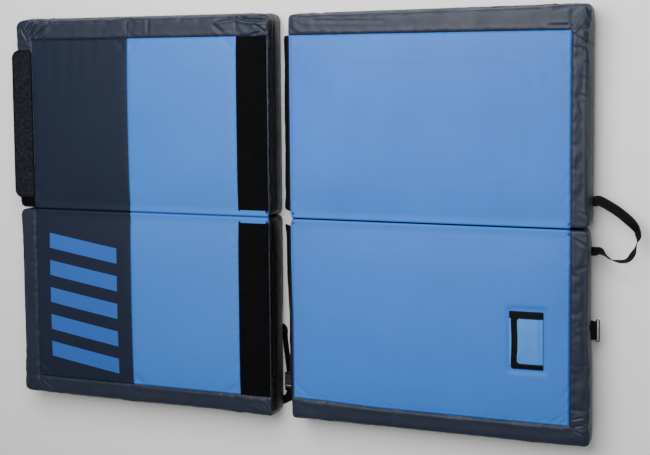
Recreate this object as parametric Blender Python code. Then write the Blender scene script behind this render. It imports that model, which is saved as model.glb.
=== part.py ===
"""Paired folding bouldering pad: two hinged landing pads lying side by side, with straps and harness.

The pad lies open on its back with the landing faces up. X runs across both units, Y runs from the
lower panels to the upper ones, and Z is up. The origin is on the floor, under the middle of the whole
part's box, so the fold line crosses it.
"""

import math

import bmesh
import bpy
from mathutils import Matrix, Vector

# Overall sizes of one unit
UNIT_WIDTH = 1.0096
PANEL_LENGTH = 0.686
THICKNESS = 0.115
UNIT_GAP = 0.0708
FOLD_GAP = 0.003
CORNER_RADIUS = 0.024
EDGE_RADIUS = 0.009
WALL_BULGE = 0.004
CROWN = 0.008
BORDER = 0.066
BORDER_SWELL = 0.001
JOIN_LIP = 0.008
FOLD_LIP = 0.0165

# Cloth, foam and the clearances between pieces
CLOTH = 0.0015
CLEARANCE = 0.0003
FOAM_CLEARANCE = 0.0005
TOP_FOAM = 0.022
BASE_FOAM = 0.024
FOAM_INSET = 0.0035

# Coloured bands of the left unit's face
NAVY_WIDTH = 0.3992
LOOP_BAND_WIDTH = 0.1135
LOOP_BAND_RISE = 0.0008

# Fold between the panels
FOLD_RISE = 0.003

# Hollow in the back that the harness lies in
HOLLOW_DEPTH = 0.0105
HOLLOW_OUTER_MARGIN = 0.160
HOLLOW_INNER_MARGIN = 0.077
HOLLOW_FOLD_MARGIN = 0.067
HOLLOW_FAR_MARGIN = 0.0495
BELT_CHANNEL_MARGIN = 0.072
BELT_CHANNEL_WIDTH = 0.192

# Lines and smoothing of the surfaces. A share is of the stretch that it divides
ROUNDING_SHARES = (0.0, 0.5, 1.0)
NAVY_SHARES = (0.0, 0.5, 1.0)
BLUE_SHARES = (0.0, 0.34, 0.67, 1.0)
PLAIN_SHARES = (0.0, 0.14, 0.32, 0.5, 0.68, 0.86, 1.0)
LENGTH_SHARES = (0.0, 0.17, 0.38, 0.62, 0.83, 1.0)
MIDDLE_SHARE = 0.47
JOIN_INSET_SHARE = 0.6
TOP_INSET_SHARE = 0.89
SMOOTH_ANGLE = 40.0
COVER_SMOOTH_ANGLE = 30.0
CORE_BEVEL_STEPS = 3

# Shoe-wiping carpet flap on the upper left border
CARPET_WIDTH = 0.081
CARPET_START = 0.038
CARPET_END = 0.586
CARPET_THICKNESS = 0.0035
CARPET_RADIUS = 0.032
CARPET_SEAM = 0.003
BINDING_WIDTH = 0.006
FLEECE_THICKNESS = 0.0015
FLEECE_START = 0.0095
FLEECE_MARGIN = 0.010

# Flaps that join the two units
JOIN_FLAP_LENGTH = 0.062
JOIN_FLAP_THICKNESS = 0.002
JOIN_FLAP_DROOP = 52.0
JOIN_BEAD = 0.0015
JOIN_SEAT_SHARE = 0.47
JOIN_FLAP_END_MARGIN = 0.006
JOIN_FLAP_RADIUS = 0.010

# Bound flap on the lower right face
PATCH_WIDTH = 0.1042
PATCH_LENGTH = 0.1839
PATCH_FROM_BORDER = 0.0871
PATCH_FROM_FOLD = 0.2686
PATCH_THICKNESS = 0.002
PATCH_BINDING_SIDE = 0.017
PATCH_BINDING_TOP = 0.025
PATCH_BINDING_BOTTOM = 0.019

# Webbing loop across the fold, on the right side
LOOP_WIDTH = 0.030
LOOP_THICKNESS = 0.002
LOOP_HEIGHT = 0.062
LOOP_UPPER_ANCHOR = 0.0845
LOOP_LOWER_ANCHOR = 0.0735
LOOP_REACH = 0.126
LOOP_SAG = 0.046
LOOP_TAB = 0.018
LOOP_STEPS = 24
LOOP_UPPER_BEND_SHARES = (0.62, 0.56)
LOOP_OUTER_BEND_SHARES = (0.80, 0.50)
LOOP_INNER_BEND_SHARES = (0.42, 0.55)
FOLD_SEARCH_STEPS = 40

# Wire ring and its tab
RING_LENGTH = 0.074
RING_DEPTH = 0.018
RING_WIRE = 0.004
RING_FROM_FOLD = 0.327
RING_HEIGHT = 0.060
TAB_WIDTH = 0.045
TAB_WALL = 0.0016
TAB_FOOT = 0.014
RING_BEND_STEPS = 8
WIRE_SIDES = 8
TAB_EYE_STEPS = 12

# Zips in the end walls
ZIP_WIDTH = 0.024
ZIP_THICKNESS = 0.0012
ZIP_MARGIN = 0.110
SLIDER_LENGTH = 0.012
SLIDER_WIDTH = 0.009
SLIDER_HEIGHT = 0.003
PULL_LENGTH = 0.030
PULL_THICKNESS = 0.0012

# Carrying harness on the back of the lower left panel
HARNESS_AXIS = 0.343
YOKE_MARGIN = 0.0244
ANCHOR_MARGIN = 0.0131
ADJUSTING_RUN = 0.150
SHOULDER_WIDTH = 0.062
SHOULDER_THICKNESS = 0.0065
SHOULDER_TOP_SPREAD = 0.055
SHOULDER_BOTTOM_SPREAD = 0.120
SHOULDER_BOW = 0.030
SHOULDER_STEPS = 14
SHOULDER_END_SHARES = (0.62, 0.90)
WEBBING_WIDTH = 0.025
WEBBING_THICKNESS = 0.0014
YOKE_LENGTH = 0.230
YOKE_WIDTH = 0.070
PATCH_PLATE = 0.0014
ANCHOR_SIDE = 0.060
ANCHOR_SPREAD = 0.175
LOCK_WIDTH = 0.034
LOCK_THICKNESS = 0.0050
LOCK_SLOT = 0.0055
LOCK_BAR = 0.0035
LOCK_MIDDLE_BAR = 0.005
WRAP_RADIUS = 0.0025
WRAP_STEPS = 3
RISE_RUN = 0.010
FLOOR_GAP = 0.0005

# Hip belt and its side-release buckle, in the gap
BELT_WIDTH = 0.020
BUCKLE_X = 0.0190
BUCKLE_FROM_END = 0.122
BUCKLE_WIDTH = 0.0265
BUCKLE_THICKNESS = 0.010
SOCKET_LENGTH = 0.043
SOCKET_WALL = 0.0018
SOCKET_SIDE = 0.0018
PLUG_BASE = 0.022
PLUG_TONGUE = 0.030
PLUG_ARM_WIDTH = 0.0040
PLUG_TONGUE_WIDTH = 0.006
PLUG_THICKNESS = 0.0038
PLUG_BARB = 0.0018
PLUG_BARB_LENGTH = 0.009
PLUG_CLEARANCE = 0.0004
SLOT_MARGIN = 0.0030
SLOT_WIDTH = 0.0052
BUCKLE_BEVEL = 0.0012
BELT_FREE_RUN = 0.159
BELT_SEWN_RUN = 0.013
BELT_ANCHOR_X = 0.152
BELT_RETURN_X = 0.056
BELT_RETURN_FROM_END = 0.022
BELT_END_X = 0.125
BELT_END_FROM_END = 0.046
TAIL_START_X = 0.060
TAIL_START_FROM_END = 0.004
TAIL_END_X = 0.0010
TAIL_END_FROM_END = 0.036
PLUG_TONGUE_TIP_SHARE = 0.6
PLUG_ARM_TIP_SHARE = 0.4
BELT_RUN_SHARES = (0.35, 0.75)
BELT_CLIMB_SHARES = (0.35, 0.8)
BELT_TURN_SHARE = 0.3

# Places that follow from the sizes above
MOUTH_X = (BORDER, UNIT_WIDTH - JOIN_LIP)
MOUTH_Y = (FOLD_GAP + FOLD_LIP, PANEL_LENGTH - BORDER)
TURN_X = MOUTH_X[0] + (MOUTH_X[1] - MOUTH_X[0]) * MIDDLE_SHARE
TURN_Y = MOUTH_Y[0] + (MOUTH_Y[1] - MOUTH_Y[0]) * MIDDLE_SHARE
FACE_SEAM = UNIT_GAP / 2 + JOIN_LIP
OUTER_EDGE = UNIT_GAP / 2 + UNIT_WIDTH
FOLD_AXIS_HEIGHT = THICKNESS + FOLD_RISE
BORDER_TOP = THICKNESS + BORDER_SWELL
FLEECE_BASE = BORDER_TOP + CLEARANCE
CARPET_BASE = FLEECE_BASE + FLEECE_THICKNESS + CLEARANCE
CARPET_AXIS_X = -(OUTER_EDGE - BORDER + CARPET_SEAM)
CARPET_AXIS_Z = CARPET_BASE + CARPET_THICKNESS / 2
EDGE_STEP = EDGE_RADIUS * (1 - math.cos(math.pi / 4))
TOP_INSET = EDGE_RADIUS * TOP_INSET_SHARE
PATCH_AXIS_X = OUTER_EDGE - BORDER - PATCH_FROM_BORDER
RING_AXIS_X = OUTER_EDGE + WALL_BULGE + TAB_WALL + RING_WIRE / 2 + 2 * CLEARANCE
LOCK_LENGTH = 2 * LOCK_BAR + 2 * LOCK_SLOT + LOCK_MIDDLE_BAR
HOLLOW_OUTER_X = OUTER_EDGE - BORDER - NAVY_WIDTH * NAVY_SHARES[1]
SHOULDER_TOP = HOLLOW_OUTER_X - YOKE_MARGIN - YOKE_WIDTH / 2
ANCHOR_DISTANCE = FACE_SEAM + LOOP_BAND_WIDTH + ANCHOR_MARGIN + ANCHOR_SIDE / 2
SHOULDER_BOTTOM = ANCHOR_DISTANCE + ADJUSTING_RUN
BUCKLE_START = PANEL_LENGTH - BUCKLE_FROM_END
BELT_EXIT = BUCKLE_START - BELT_FREE_RUN
BELT_ANCHOR_Y = BELT_EXIT - BELT_SEWN_RUN
BELT_CHANNEL_START = BELT_ANCHOR_Y - BELT_CHANNEL_MARGIN

LEFT, RIGHT = -1, 1
UPPER, LOWER = 1, -1


# Shape of the landing face
def crown_at(x, y):
    """How far the landing face stands above its seam, at a place in a panel's own frame."""
    u = (x - MOUTH_X[0]) / (MOUTH_X[1] - MOUTH_X[0])
    v = (y - MOUTH_Y[0]) / (MOUTH_Y[1] - MOUTH_Y[0])
    if not 0 <= u <= 1 or not 0 <= v <= 1:
        return 0.0
    return CROWN * (1 - (2 * u - 1) ** 4) * (1 - (2 * v - 1) ** 4)


PATCH_AXIS_Z = (THICKNESS + CLEARANCE + PATCH_THICKNESS / 2
                + crown_at(BORDER + PATCH_FROM_BORDER, PATCH_FROM_FOLD + PATCH_LENGTH / 2))


def join_axis():
    """Where the join flaps turn: a bead's radius clear of the cover's rounded join edge."""
    low_edge = Vector((UNIT_GAP / 2 + JOIN_INSET_SHARE * EDGE_STEP, THICKNESS - EDGE_STEP))
    high_edge = Vector((UNIT_GAP / 2 + JOIN_INSET_SHARE * TOP_INSET, THICKNESS))
    along = (high_edge - low_edge).normalized()
    away = Vector((-along.y, along.x))
    return low_edge.lerp(high_edge, JOIN_SEAT_SHARE) + away * (JOIN_BEAD + CLEARANCE)


JOIN_AXIS_X, JOIN_AXIS_Z = join_axis()


# Materials
def material(name, colour, roughness, metallic=0.0):
    """A plain surface with one colour."""
    made = bpy.data.materials.get(name)
    if made:
        return made
    made = bpy.data.materials.new(name)
    made.use_nodes = True
    shader = made.node_tree.nodes["Principled BSDF"]
    shader.inputs["Base Color"].default_value = (*colour, 1.0)
    shader.inputs["Roughness"].default_value = roughness
    shader.inputs["Metallic"].default_value = metallic
    made.diffuse_color = (*colour, 1.0)
    return made


def charcoal_cloth():
    return material("charcoal_cloth", (0.045, 0.060, 0.085), 0.62)


def blue_cloth():
    return material("blue_cloth", (0.125, 0.300, 0.560), 0.70)


def navy_cloth():
    return material("navy_cloth", (0.018, 0.032, 0.062), 0.75)


def loop_cloth():
    return material("loop_cloth", (0.006, 0.006, 0.008), 0.95)


def hook_cloth():
    return material("hook_cloth", (0.010, 0.011, 0.014), 0.85)


def carpet_cloth():
    return material("carpet_cloth", (0.060, 0.066, 0.078), 0.98)


def black_webbing():
    return material("black_webbing", (0.008, 0.009, 0.011), 0.70)


def firm_foam():
    return material("firm_foam", (0.080, 0.085, 0.090), 0.90)


def soft_foam():
    return material("soft_foam", (0.640, 0.620, 0.520), 0.95)


def black_plastic():
    return material("black_plastic", (0.012, 0.013, 0.016), 0.40)


def steel_wire():
    return material("steel_wire", (0.560, 0.570, 0.580), 0.30, 1.0)


# Bodies: each moving group hangs on an empty that stands on its joint's axis
BODY_ORIGINS = {
    "left_lower": (0, 0, 0),
    "left_upper": (0, 0, FOLD_AXIS_HEIGHT),
    "right_lower": (0, 0, 0),
    "right_upper": (0, 0, FOLD_AXIS_HEIGHT),
    "carpet": (CARPET_AXIS_X, 0, CARPET_AXIS_Z),
    "join_flap_upper": (JOIN_AXIS_X, 0, JOIN_AXIS_Z),
    "join_flap_lower": (JOIN_AXIS_X, 0, JOIN_AXIS_Z),
    "patch_flap": (PATCH_AXIS_X, 0, PATCH_AXIS_Z),
    "ring": (RING_AXIS_X, -RING_FROM_FOLD, RING_HEIGHT),
    "buckle_plug": (-BUCKLE_X, -(BUCKLE_START + SOCKET_LENGTH), FLOOR_GAP + BUCKLE_THICKNESS / 2),
}
BODY_PARENTS = {
    "left_upper": "left_lower",
    "right_lower": "left_lower",
    "right_upper": "right_lower",
    "carpet": "left_upper",
    "join_flap_upper": "right_upper",
    "join_flap_lower": "right_lower",
    "patch_flap": "right_lower",
    "ring": "right_lower",
    "buckle_plug": "left_lower",
}


def make_bodies():
    """The empties that the pieces hang on."""
    for name, origin in BODY_ORIGINS.items():
        empty = bpy.data.objects.new(name + "_body", None)
        bpy.context.scene.collection.objects.link(empty)
        parent = BODY_PARENTS.get(name)
        start = BODY_ORIGINS[parent] if parent else (0, 0, 0)
        if parent:
            empty.parent = bpy.data.objects[parent + "_body"]
        empty.location = Vector(origin) - Vector(start)


def add_piece(name, mesh, body, surface, smooth_angle=SMOOTH_ANGLE):
    """Close a mesh made in the part's own frame, turn its faces outward and hang it on its body."""
    bmesh.ops.recalc_face_normals(mesh, faces=mesh.faces)
    data = bpy.data.meshes.new(name)
    mesh.to_mesh(data)
    mesh.free()
    origin = Vector(BODY_ORIGINS[body])
    data.transform(Matrix.Translation(-origin))
    data.materials.append(surface)
    data.shade_smooth()
    data.set_sharp_from_angle(angle=math.radians(smooth_angle))
    piece = bpy.data.objects.new(name, data)
    bpy.context.scene.collection.objects.link(piece)
    piece.parent = bpy.data.objects[body + "_body"]
    return piece


# Grid lines and rounded boxes
def divided(start, end, shares):
    """Places from start to end at the given shares."""
    return [start + (end - start) * share for share in shares]


def joined(*runs):
    """Several rising runs of places as one list without repeats."""
    lines = []
    for run in runs:
        for place in run:
            if not lines or place - lines[-1] > CLEARANCE:
                lines.append(place)
    return lines


def refitted(lines, start, end):
    """The lines stretched evenly to run from start to end."""
    scale = (end - start) / (lines[-1] - lines[0])
    return [start + (place - lines[0]) * scale for place in lines]


def drawn_in(lines, start, end):
    """The lines with their two ends moved to start and end. Only those in the corners' squares follow."""
    moved = []
    for place in lines:
        if place - lines[0] < CORNER_RADIUS:
            place = start + (place - lines[0]) * (lines[0] + CORNER_RADIUS - start) / CORNER_RADIUS
        elif lines[-1] - place < CORNER_RADIUS:
            place = end - (lines[-1] - place) * (end + CORNER_RADIUS - lines[-1]) / CORNER_RADIUS
        moved.append(place)
    return moved


def rounded_point(x, y, box, radius):
    """Move a point of a corner's square onto the matching place of its quarter disc."""
    x0, x1, y0, y1 = box
    cx = x0 + radius if x < x0 + radius else x1 - radius if x > x1 - radius else x
    cy = y0 + radius if y < y0 + radius else y1 - radius if y > y1 - radius else y
    if cx == x or cy == y or radius <= 0:
        return x, y
    u, v = (x - cx) / radius, (y - cy) / radius
    return cx + radius * u * math.sqrt(1 - v * v / 2), cy + radius * v * math.sqrt(1 - u * u / 2)


def outline_indices(nx, ny):
    """Grid places round the border, in order."""
    round_trip = [(i, 0) for i in range(nx)] + [(nx, j) for j in range(ny)]
    round_trip += [(i, ny) for i in range(nx, 0, -1)] + [(0, j) for j in range(ny, 0, -1)]
    return round_trip


def grid_points(xs, ys, radius, height):
    """Rows of points on a rounded rectangle, each with its height."""
    box = (xs[0], xs[-1], ys[0], ys[-1])
    rows = []
    for x in xs:
        row = []
        for y in ys:
            px, py = rounded_point(x, y, box, radius)
            row.append((px, py, height(px, py)))
        rows.append(row)
    return rows


def grid_cell(mesh, corners, plan):
    """Two triangles for one cell. Their shared edge runs toward the panel's nearest corner."""
    x = sum(point[0] for point in plan) / len(plan)
    y = sum(point[1] for point in plan) / len(plan)
    a, b, c, d = corners
    if (x > TURN_X) == (y > TURN_Y):
        mesh.faces.new((a, b, c))
        mesh.faces.new((a, c, d))
    else:
        mesh.faces.new((a, b, d))
        mesh.faces.new((b, c, d))


def lofted_body(bottom, rings, top, place):
    """A closed mesh from a bottom grid, rings of the grid's outline, and a top grid."""
    mesh = bmesh.new()
    nx, ny = len(bottom) - 1, len(bottom[0]) - 1
    outline = outline_indices(nx, ny)
    grids = [[[mesh.verts.new(place(*point)) for point in row] for row in grid] for grid in (bottom, top)]
    loops = [[grids[0][i][j] for i, j in outline]]
    loops += [[mesh.verts.new(place(*point)) for point in ring] for ring in rings]
    loops.append([grids[1][i][j] for i, j in outline])
    for grid, points in zip(grids, (bottom, top)):
        for i in range(nx):
            for j in range(ny):
                corners = ((i, j), (i + 1, j), (i + 1, j + 1), (i, j + 1))
                grid_cell(mesh, [grid[a][b] for a, b in corners], [points[a][b] for a, b in corners])
    for low, high in zip(loops, loops[1:]):
        for k in range(len(low)):
            after = (k + 1) % len(low)
            mesh.faces.new((low[k], low[after], high[after], high[k]))
    return mesh


def cell_body(xs, ys, low, high, place, kept=None, radius=0.0):
    """A closed slab between two heights, over the kept cells of a grid."""
    mesh = bmesh.new()
    nx, ny = len(xs) - 1, len(ys) - 1
    under, over = grid_points(xs, ys, radius, low), grid_points(xs, ys, radius, high)
    cells = {(i, j) for i in range(nx) for j in range(ny) if kept is None or kept(i, j)}
    made = {}

    def vert(layer, i, j):
        key = (layer, i, j)
        if key not in made:
            made[key] = mesh.verts.new(place(*(under, over)[layer][i][j]))
        return made[key]

    for i, j in sorted(cells):
        corners = ((i, j), (i + 1, j), (i + 1, j + 1), (i, j + 1))
        for layer, points in ((0, under), (1, over)):
            grid_cell(mesh, [vert(layer, *c) for c in corners], [points[a][b] for a, b in corners])
        beyond = ((i, j - 1), (i + 1, j), (i, j + 1), (i - 1, j))
        for k in range(4):
            if beyond[k] not in cells:
                a, b = corners[k], corners[(k + 1) % 4]
                mesh.faces.new((vert(0, *a), vert(0, *b), vert(1, *b), vert(1, *a)))
    return mesh


def band_body(middle, widths, low, high):
    """A flat band along a line in plan, with a width at each point, between two heights."""
    mesh = bmesh.new()
    rows = []
    for k, (x, y) in enumerate(middle):
        before, after = middle[max(k - 1, 0)], middle[min(k + 1, len(middle) - 1)]
        along = Vector((after[0] - before[0], after[1] - before[1])).normalized()
        side = Vector((-along.y, along.x)) * widths[k] / 2
        rows.append([
            mesh.verts.new((x - side.x, y - side.y, low)),
            mesh.verts.new((x + side.x, y + side.y, low)),
            mesh.verts.new((x + side.x, y + side.y, high)),
            mesh.verts.new((x - side.x, y - side.y, high)),
        ])
    return closed_sweep(mesh, rows)


def closed_sweep(mesh, rows):
    """Join rows of four points into a tube and close its two ends."""
    for a, b in zip(rows, rows[1:]):
        for k in range(len(a)):
            after = (k + 1) % len(a)
            mesh.faces.new((a[k], a[after], b[after], b[k]))
    mesh.faces.new(list(reversed(rows[0])))
    mesh.faces.new(rows[-1])
    return mesh


def ribbon_body(points, flats, width, thickness, headings=None):
    """A webbing ribbon along points in space, with the direction that its width takes at each."""
    mesh = bmesh.new()
    rows = []
    for k, point in enumerate(points):
        before, after = points[max(k - 1, 0)], points[min(k + 1, len(points) - 1)]
        along = headings[k] if headings else (after - before).normalized()
        across = flats[k] - along * flats[k].dot(along)
        across.normalize()
        up = along.cross(across)
        half, rise = across * width / 2, up * thickness / 2
        rows.append([mesh.verts.new(p) for p in (
            point - half - rise, point + half - rise, point + half + rise, point - half + rise)])
    return closed_sweep(mesh, rows)


def box_mesh(low, high):
    """A plain box between two corners."""
    mesh = bmesh.new()
    bmesh.ops.create_cube(mesh, size=1.0)
    size = Vector(high) - Vector(low)
    bmesh.ops.scale(mesh, vec=size, verts=mesh.verts)
    bmesh.ops.translate(mesh, vec=(Vector(high) + Vector(low)) / 2, verts=mesh.verts)
    return mesh


def cut_with(piece, name, low, high):
    """Cut a box out of a piece. The cutter stays as a hidden guide on the same body."""
    mesh = box_mesh(low, high)
    data = bpy.data.meshes.new(name)
    mesh.to_mesh(data)
    mesh.free()
    origin = BODY_ORIGINS[piece.parent.name.removesuffix("_body")]
    data.transform(Matrix.Translation(-Vector(origin)))
    cutter = bpy.data.objects.new(name, data)
    bpy.context.scene.collection.objects.link(cutter)
    cutter.parent = piece.parent
    cutter.hide_render = True
    cutter.display_type = "WIRE"
    cut = piece.modifiers.new(name, "BOOLEAN")
    cut.operation = "DIFFERENCE"
    cut.solver = "EXACT"
    cut.object = cutter


# Panels, in a frame of their own: x from the outer side to the join side, y from the fold outward
class Panel:
    """Lines, heights and place of one of the four panels."""

    def __init__(self, unit, end):
        self.unit, self.end = unit, end
        self.name = ("left" if unit == LEFT else "right") + ("_upper" if end == UPPER else "_lower")
        self.x0, self.x1 = 0.0, UNIT_WIDTH
        self.y0, self.y1 = FOLD_GAP, PANEL_LENGTH
        self.open_x0, self.open_x1 = MOUTH_X
        self.open_y0, self.open_y1 = MOUTH_Y
        self.navy_end = self.open_x0 + NAVY_WIDTH
        self.band_start = self.open_x1 - LOOP_BAND_WIDTH

    def place(self, x, y, z):
        """From the panel's frame to the part's."""
        return self.unit * (OUTER_EDGE - x), self.end * y, z

    def face_xs(self):
        """Lines across the face, with the colour bands' seams among them."""
        if self.unit == LEFT:
            return joined(
                divided(self.open_x0, self.navy_end, NAVY_SHARES),
                divided(self.navy_end, self.band_start, BLUE_SHARES),
                [self.x1 - CORNER_RADIUS, self.open_x1])
        return joined(divided(self.open_x0, self.x1 - CORNER_RADIUS, PLAIN_SHARES), [self.open_x1])

    def xs(self):
        """Lines across the whole panel."""
        outer = divided(self.x0, self.x0 + CORNER_RADIUS, ROUNDING_SHARES)
        return joined(outer, self.face_xs(), [self.x1])

    def face_ys(self):
        """Lines along the face."""
        return divided(self.open_y0, self.open_y1, LENGTH_SHARES)

    def ys(self):
        """Lines along the whole panel."""
        far = divided(self.y1 - CORNER_RADIUS, self.y1, ROUNDING_SHARES)
        return joined([self.y0], self.face_ys(), far)

    def hollow(self, x, y):
        """Depth of the hollow that the harness lies in, on the lower left panel's back."""
        if self.unit == RIGHT or self.end == UPPER:
            return 0.0
        within = HOLLOW_OUTER_MARGIN < x < self.x1 - HOLLOW_INNER_MARGIN
        within = within and self.y0 + HOLLOW_FOLD_MARGIN < y < self.y1 - HOLLOW_FAR_MARGIN
        channel = x > self.x1 - BELT_CHANNEL_WIDTH and y > BELT_CHANNEL_START
        return HOLLOW_DEPTH if within or channel else 0.0

    def ring(self, inset, height, bulge=0.0):
        """The outline drawn in by an inset, or pushed out on the three free sides by a bulge."""
        out = inset - bulge
        join_out = inset * JOIN_INSET_SHARE - bulge
        box = (self.x0 + out, self.x1 - join_out, self.y0 + inset, self.y1 - out)
        xs, ys = drawn_in(self.xs(), box[0], box[1]), drawn_in(self.ys(), box[2], box[3])
        points = []
        for i, j in outline_indices(len(xs) - 1, len(ys) - 1):
            x, y = rounded_point(xs[i], ys[j], box, CORNER_RADIUS - inset)
            points.append((x, y, height(x, y)))
        return points

    def mouth(self, spread, height):
        """The outline of the cover's mouth, moved outward by spread."""
        xs = refitted(self.xs(), self.open_x0 - spread, self.open_x1 + spread)
        ys = refitted(self.ys(), self.open_y0 - spread, self.open_y1 + spread)
        return [(xs[i], ys[j], height) for i, j in outline_indices(len(xs) - 1, len(ys) - 1)]

    def plan(self, inset, height):
        """The whole panel's grid, drawn in by an inset."""
        xs = drawn_in(self.xs(), self.x0 + inset, self.x1 - inset * JOIN_INSET_SHARE)
        ys = drawn_in(self.ys(), self.y0 + inset, self.y1 - inset)
        return grid_points(xs, ys, CORNER_RADIUS - inset, height)


def cover_shell(panel):
    """The coated cover: back, walls and the border round the landing face, open at the face."""
    r, t = EDGE_RADIUS, CLOTH
    step, top = EDGE_STEP, TOP_INSET

    def low(rise):
        return lambda x, y: panel.hollow(x, y) + rise

    def middle(x, y):
        return (panel.hollow(x, y) + THICKNESS) / 2

    def level(height):
        return lambda x, y: height

    swell = BORDER_SWELL
    outer = [
        panel.ring(step, low(step)),
        panel.ring(0.0, low(r)),
        panel.ring(0.0, middle, WALL_BULGE),
        panel.ring(0.0, level(THICKNESS - r)),
        panel.ring(step, level(THICKNESS - step)),
        panel.ring(top, level(THICKNESS)),
        half_way(panel.ring(top, level(THICKNESS)), panel.mouth(0.0, THICKNESS), swell),
        panel.mouth(0.0, THICKNESS),
    ]
    inner = [
        panel.mouth(0.0, THICKNESS - t),
        half_way(panel.ring(top, level(THICKNESS - t)), panel.mouth(0.0, THICKNESS - t), swell),
        panel.ring(top + t / 2, level(THICKNESS - t)),
        panel.ring(step + t, level(THICKNESS - step - t)),
        panel.ring(t, level(THICKNESS - r)),
        panel.ring(t, middle, WALL_BULGE),
        panel.ring(t, low(r)),
        panel.ring(step + t, low(step + t)),
    ]
    mesh = lofted_body(panel.plan(r, low(0.0)), outer + inner, panel.plan(r + t / 2, low(t)), panel.place)
    add_piece(panel.name + "_cover", mesh, panel.name, charcoal_cloth(), COVER_SMOOTH_ANGLE)


def half_way(outside, inside, swell):
    """A ring half way between two others, raised a little where the border is wide."""
    ring = []
    for a, b in zip(outside, inside):
        x, y = (a[0] + b[0]) / 2, (a[1] + b[1]) / 2
        ramp = min(max((y - MOUTH_Y[0]) / BORDER, 0.0), 1.0) if x < MOUTH_X[1] else 0.0
        ring.append((x, y, (a[2] + b[2]) / 2 + swell * ramp))
    return ring


def foam_layers(panel):
    """Firm top sheet, soft core and firm base sheet inside the cover."""
    c, inset = FOAM_CLEARANCE, FOAM_INSET
    under_cloth = THICKNESS - CLOTH - c
    top_start = THICKNESS - TOP_FOAM
    base_top = HOLLOW_DEPTH + BASE_FOAM
    soft_edge = EDGE_RADIUS + FOAM_INSET

    def bottom(x, y):
        return panel.hollow(x, y) + CLOTH + c

    def lid(x, y):
        return under_cloth + crown_at(x, y)

    def level(height):
        return lambda x, y: height

    top = lofted_body(
        panel.plan(inset, level(top_start + c)),
        [panel.ring(inset, level(THICKNESS - soft_edge))],
        panel.plan(soft_edge, lid), panel.place)
    add_piece(panel.name + "_top_foam", top, panel.name, firm_foam())
    core = box_mesh(
        (panel.x0 + 2 * inset, panel.y0 + inset, base_top + c),
        (panel.x1 - 2 * inset, panel.y1 - 2 * inset, top_start))
    trim_core(core)
    bmesh.ops.transform(core, matrix=panel_matrix(panel), verts=core.verts)
    add_piece(panel.name + "_core_foam", core, panel.name, soft_foam())
    base = lofted_body(
        panel.plan(soft_edge, bottom),
        [panel.ring(inset, lambda x, y: panel.hollow(x, y) + soft_edge)],
        panel.plan(inset, level(base_top)), panel.place)
    add_piece(panel.name + "_base_foam", base, panel.name, firm_foam())


def trim_core(mesh):
    """Round the four upright edges of the core."""
    upright = [e for e in mesh.edges
               if abs(e.verts[0].co.z - e.verts[1].co.z) > abs(e.verts[0].co.x - e.verts[1].co.x)
               + abs(e.verts[0].co.y - e.verts[1].co.y)]
    bmesh.ops.bevel(mesh, geom=upright, offset=CORNER_RADIUS, segments=CORE_BEVEL_STEPS, affect="EDGES",
                    profile=0.5)


def panel_matrix(panel):
    """The move from a panel's frame to the part's, as a matrix."""
    shift = Matrix.Translation((panel.unit * OUTER_EDGE, 0, 0))
    return shift @ Matrix.Diagonal((-panel.unit, panel.end, 1, 1))


def face_sheet(panel, name, start, end, surface, rise=0.0):
    """One sewn field of the landing face, from start to end across the panel."""
    gap = CLEARANCE / 2
    inner = [x for x in panel.face_xs() if start + gap < x < end - gap]
    ys = panel.face_ys()
    ys[0], ys[-1] = ys[0] + CLEARANCE, ys[-1] - CLEARANCE
    low_edge = start + (CLEARANCE if start == panel.open_x0 else gap)
    high_edge = end - (CLEARANCE if end == panel.open_x1 else gap)
    mesh = cell_body(
        [low_edge] + inner + [high_edge], ys,
        lambda x, y: THICKNESS - CLOTH + crown_at(x, y),
        lambda x, y: THICKNESS + rise + crown_at(x, y),
        panel.place)
    add_piece(name, mesh, panel.name, surface)


def landing_face(panel):
    """The landing face: three fields on the left unit, one on the right."""
    if panel.unit == LEFT:
        face_sheet(panel, panel.name + "_navy_face", panel.open_x0, panel.navy_end, navy_cloth())
        face_sheet(panel, panel.name + "_blue_face", panel.navy_end, panel.band_start, blue_cloth())
        face_sheet(panel, panel.name + "_loop_band", panel.band_start, panel.open_x1, loop_cloth(),
                   LOOP_BAND_RISE)
    else:
        face_sheet(panel, panel.name + "_face", panel.open_x0, panel.open_x1, blue_cloth())


def fold_strip(panel):
    """Half of the strip that carries the face's cloth across the fold. It bends at the fold line."""
    mesh = cell_body(
        [panel.open_x0, panel.navy_end, panel.band_start, panel.open_x1],
        [CLEARANCE / 2, panel.open_y0 - CLEARANCE],
        lambda x, y: THICKNESS + CLEARANCE,
        lambda x, y: THICKNESS + CLEARANCE + CLOTH,
        panel.place)
    add_piece(panel.name + "_fold_strip", mesh, panel.name, blue_cloth())


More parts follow.
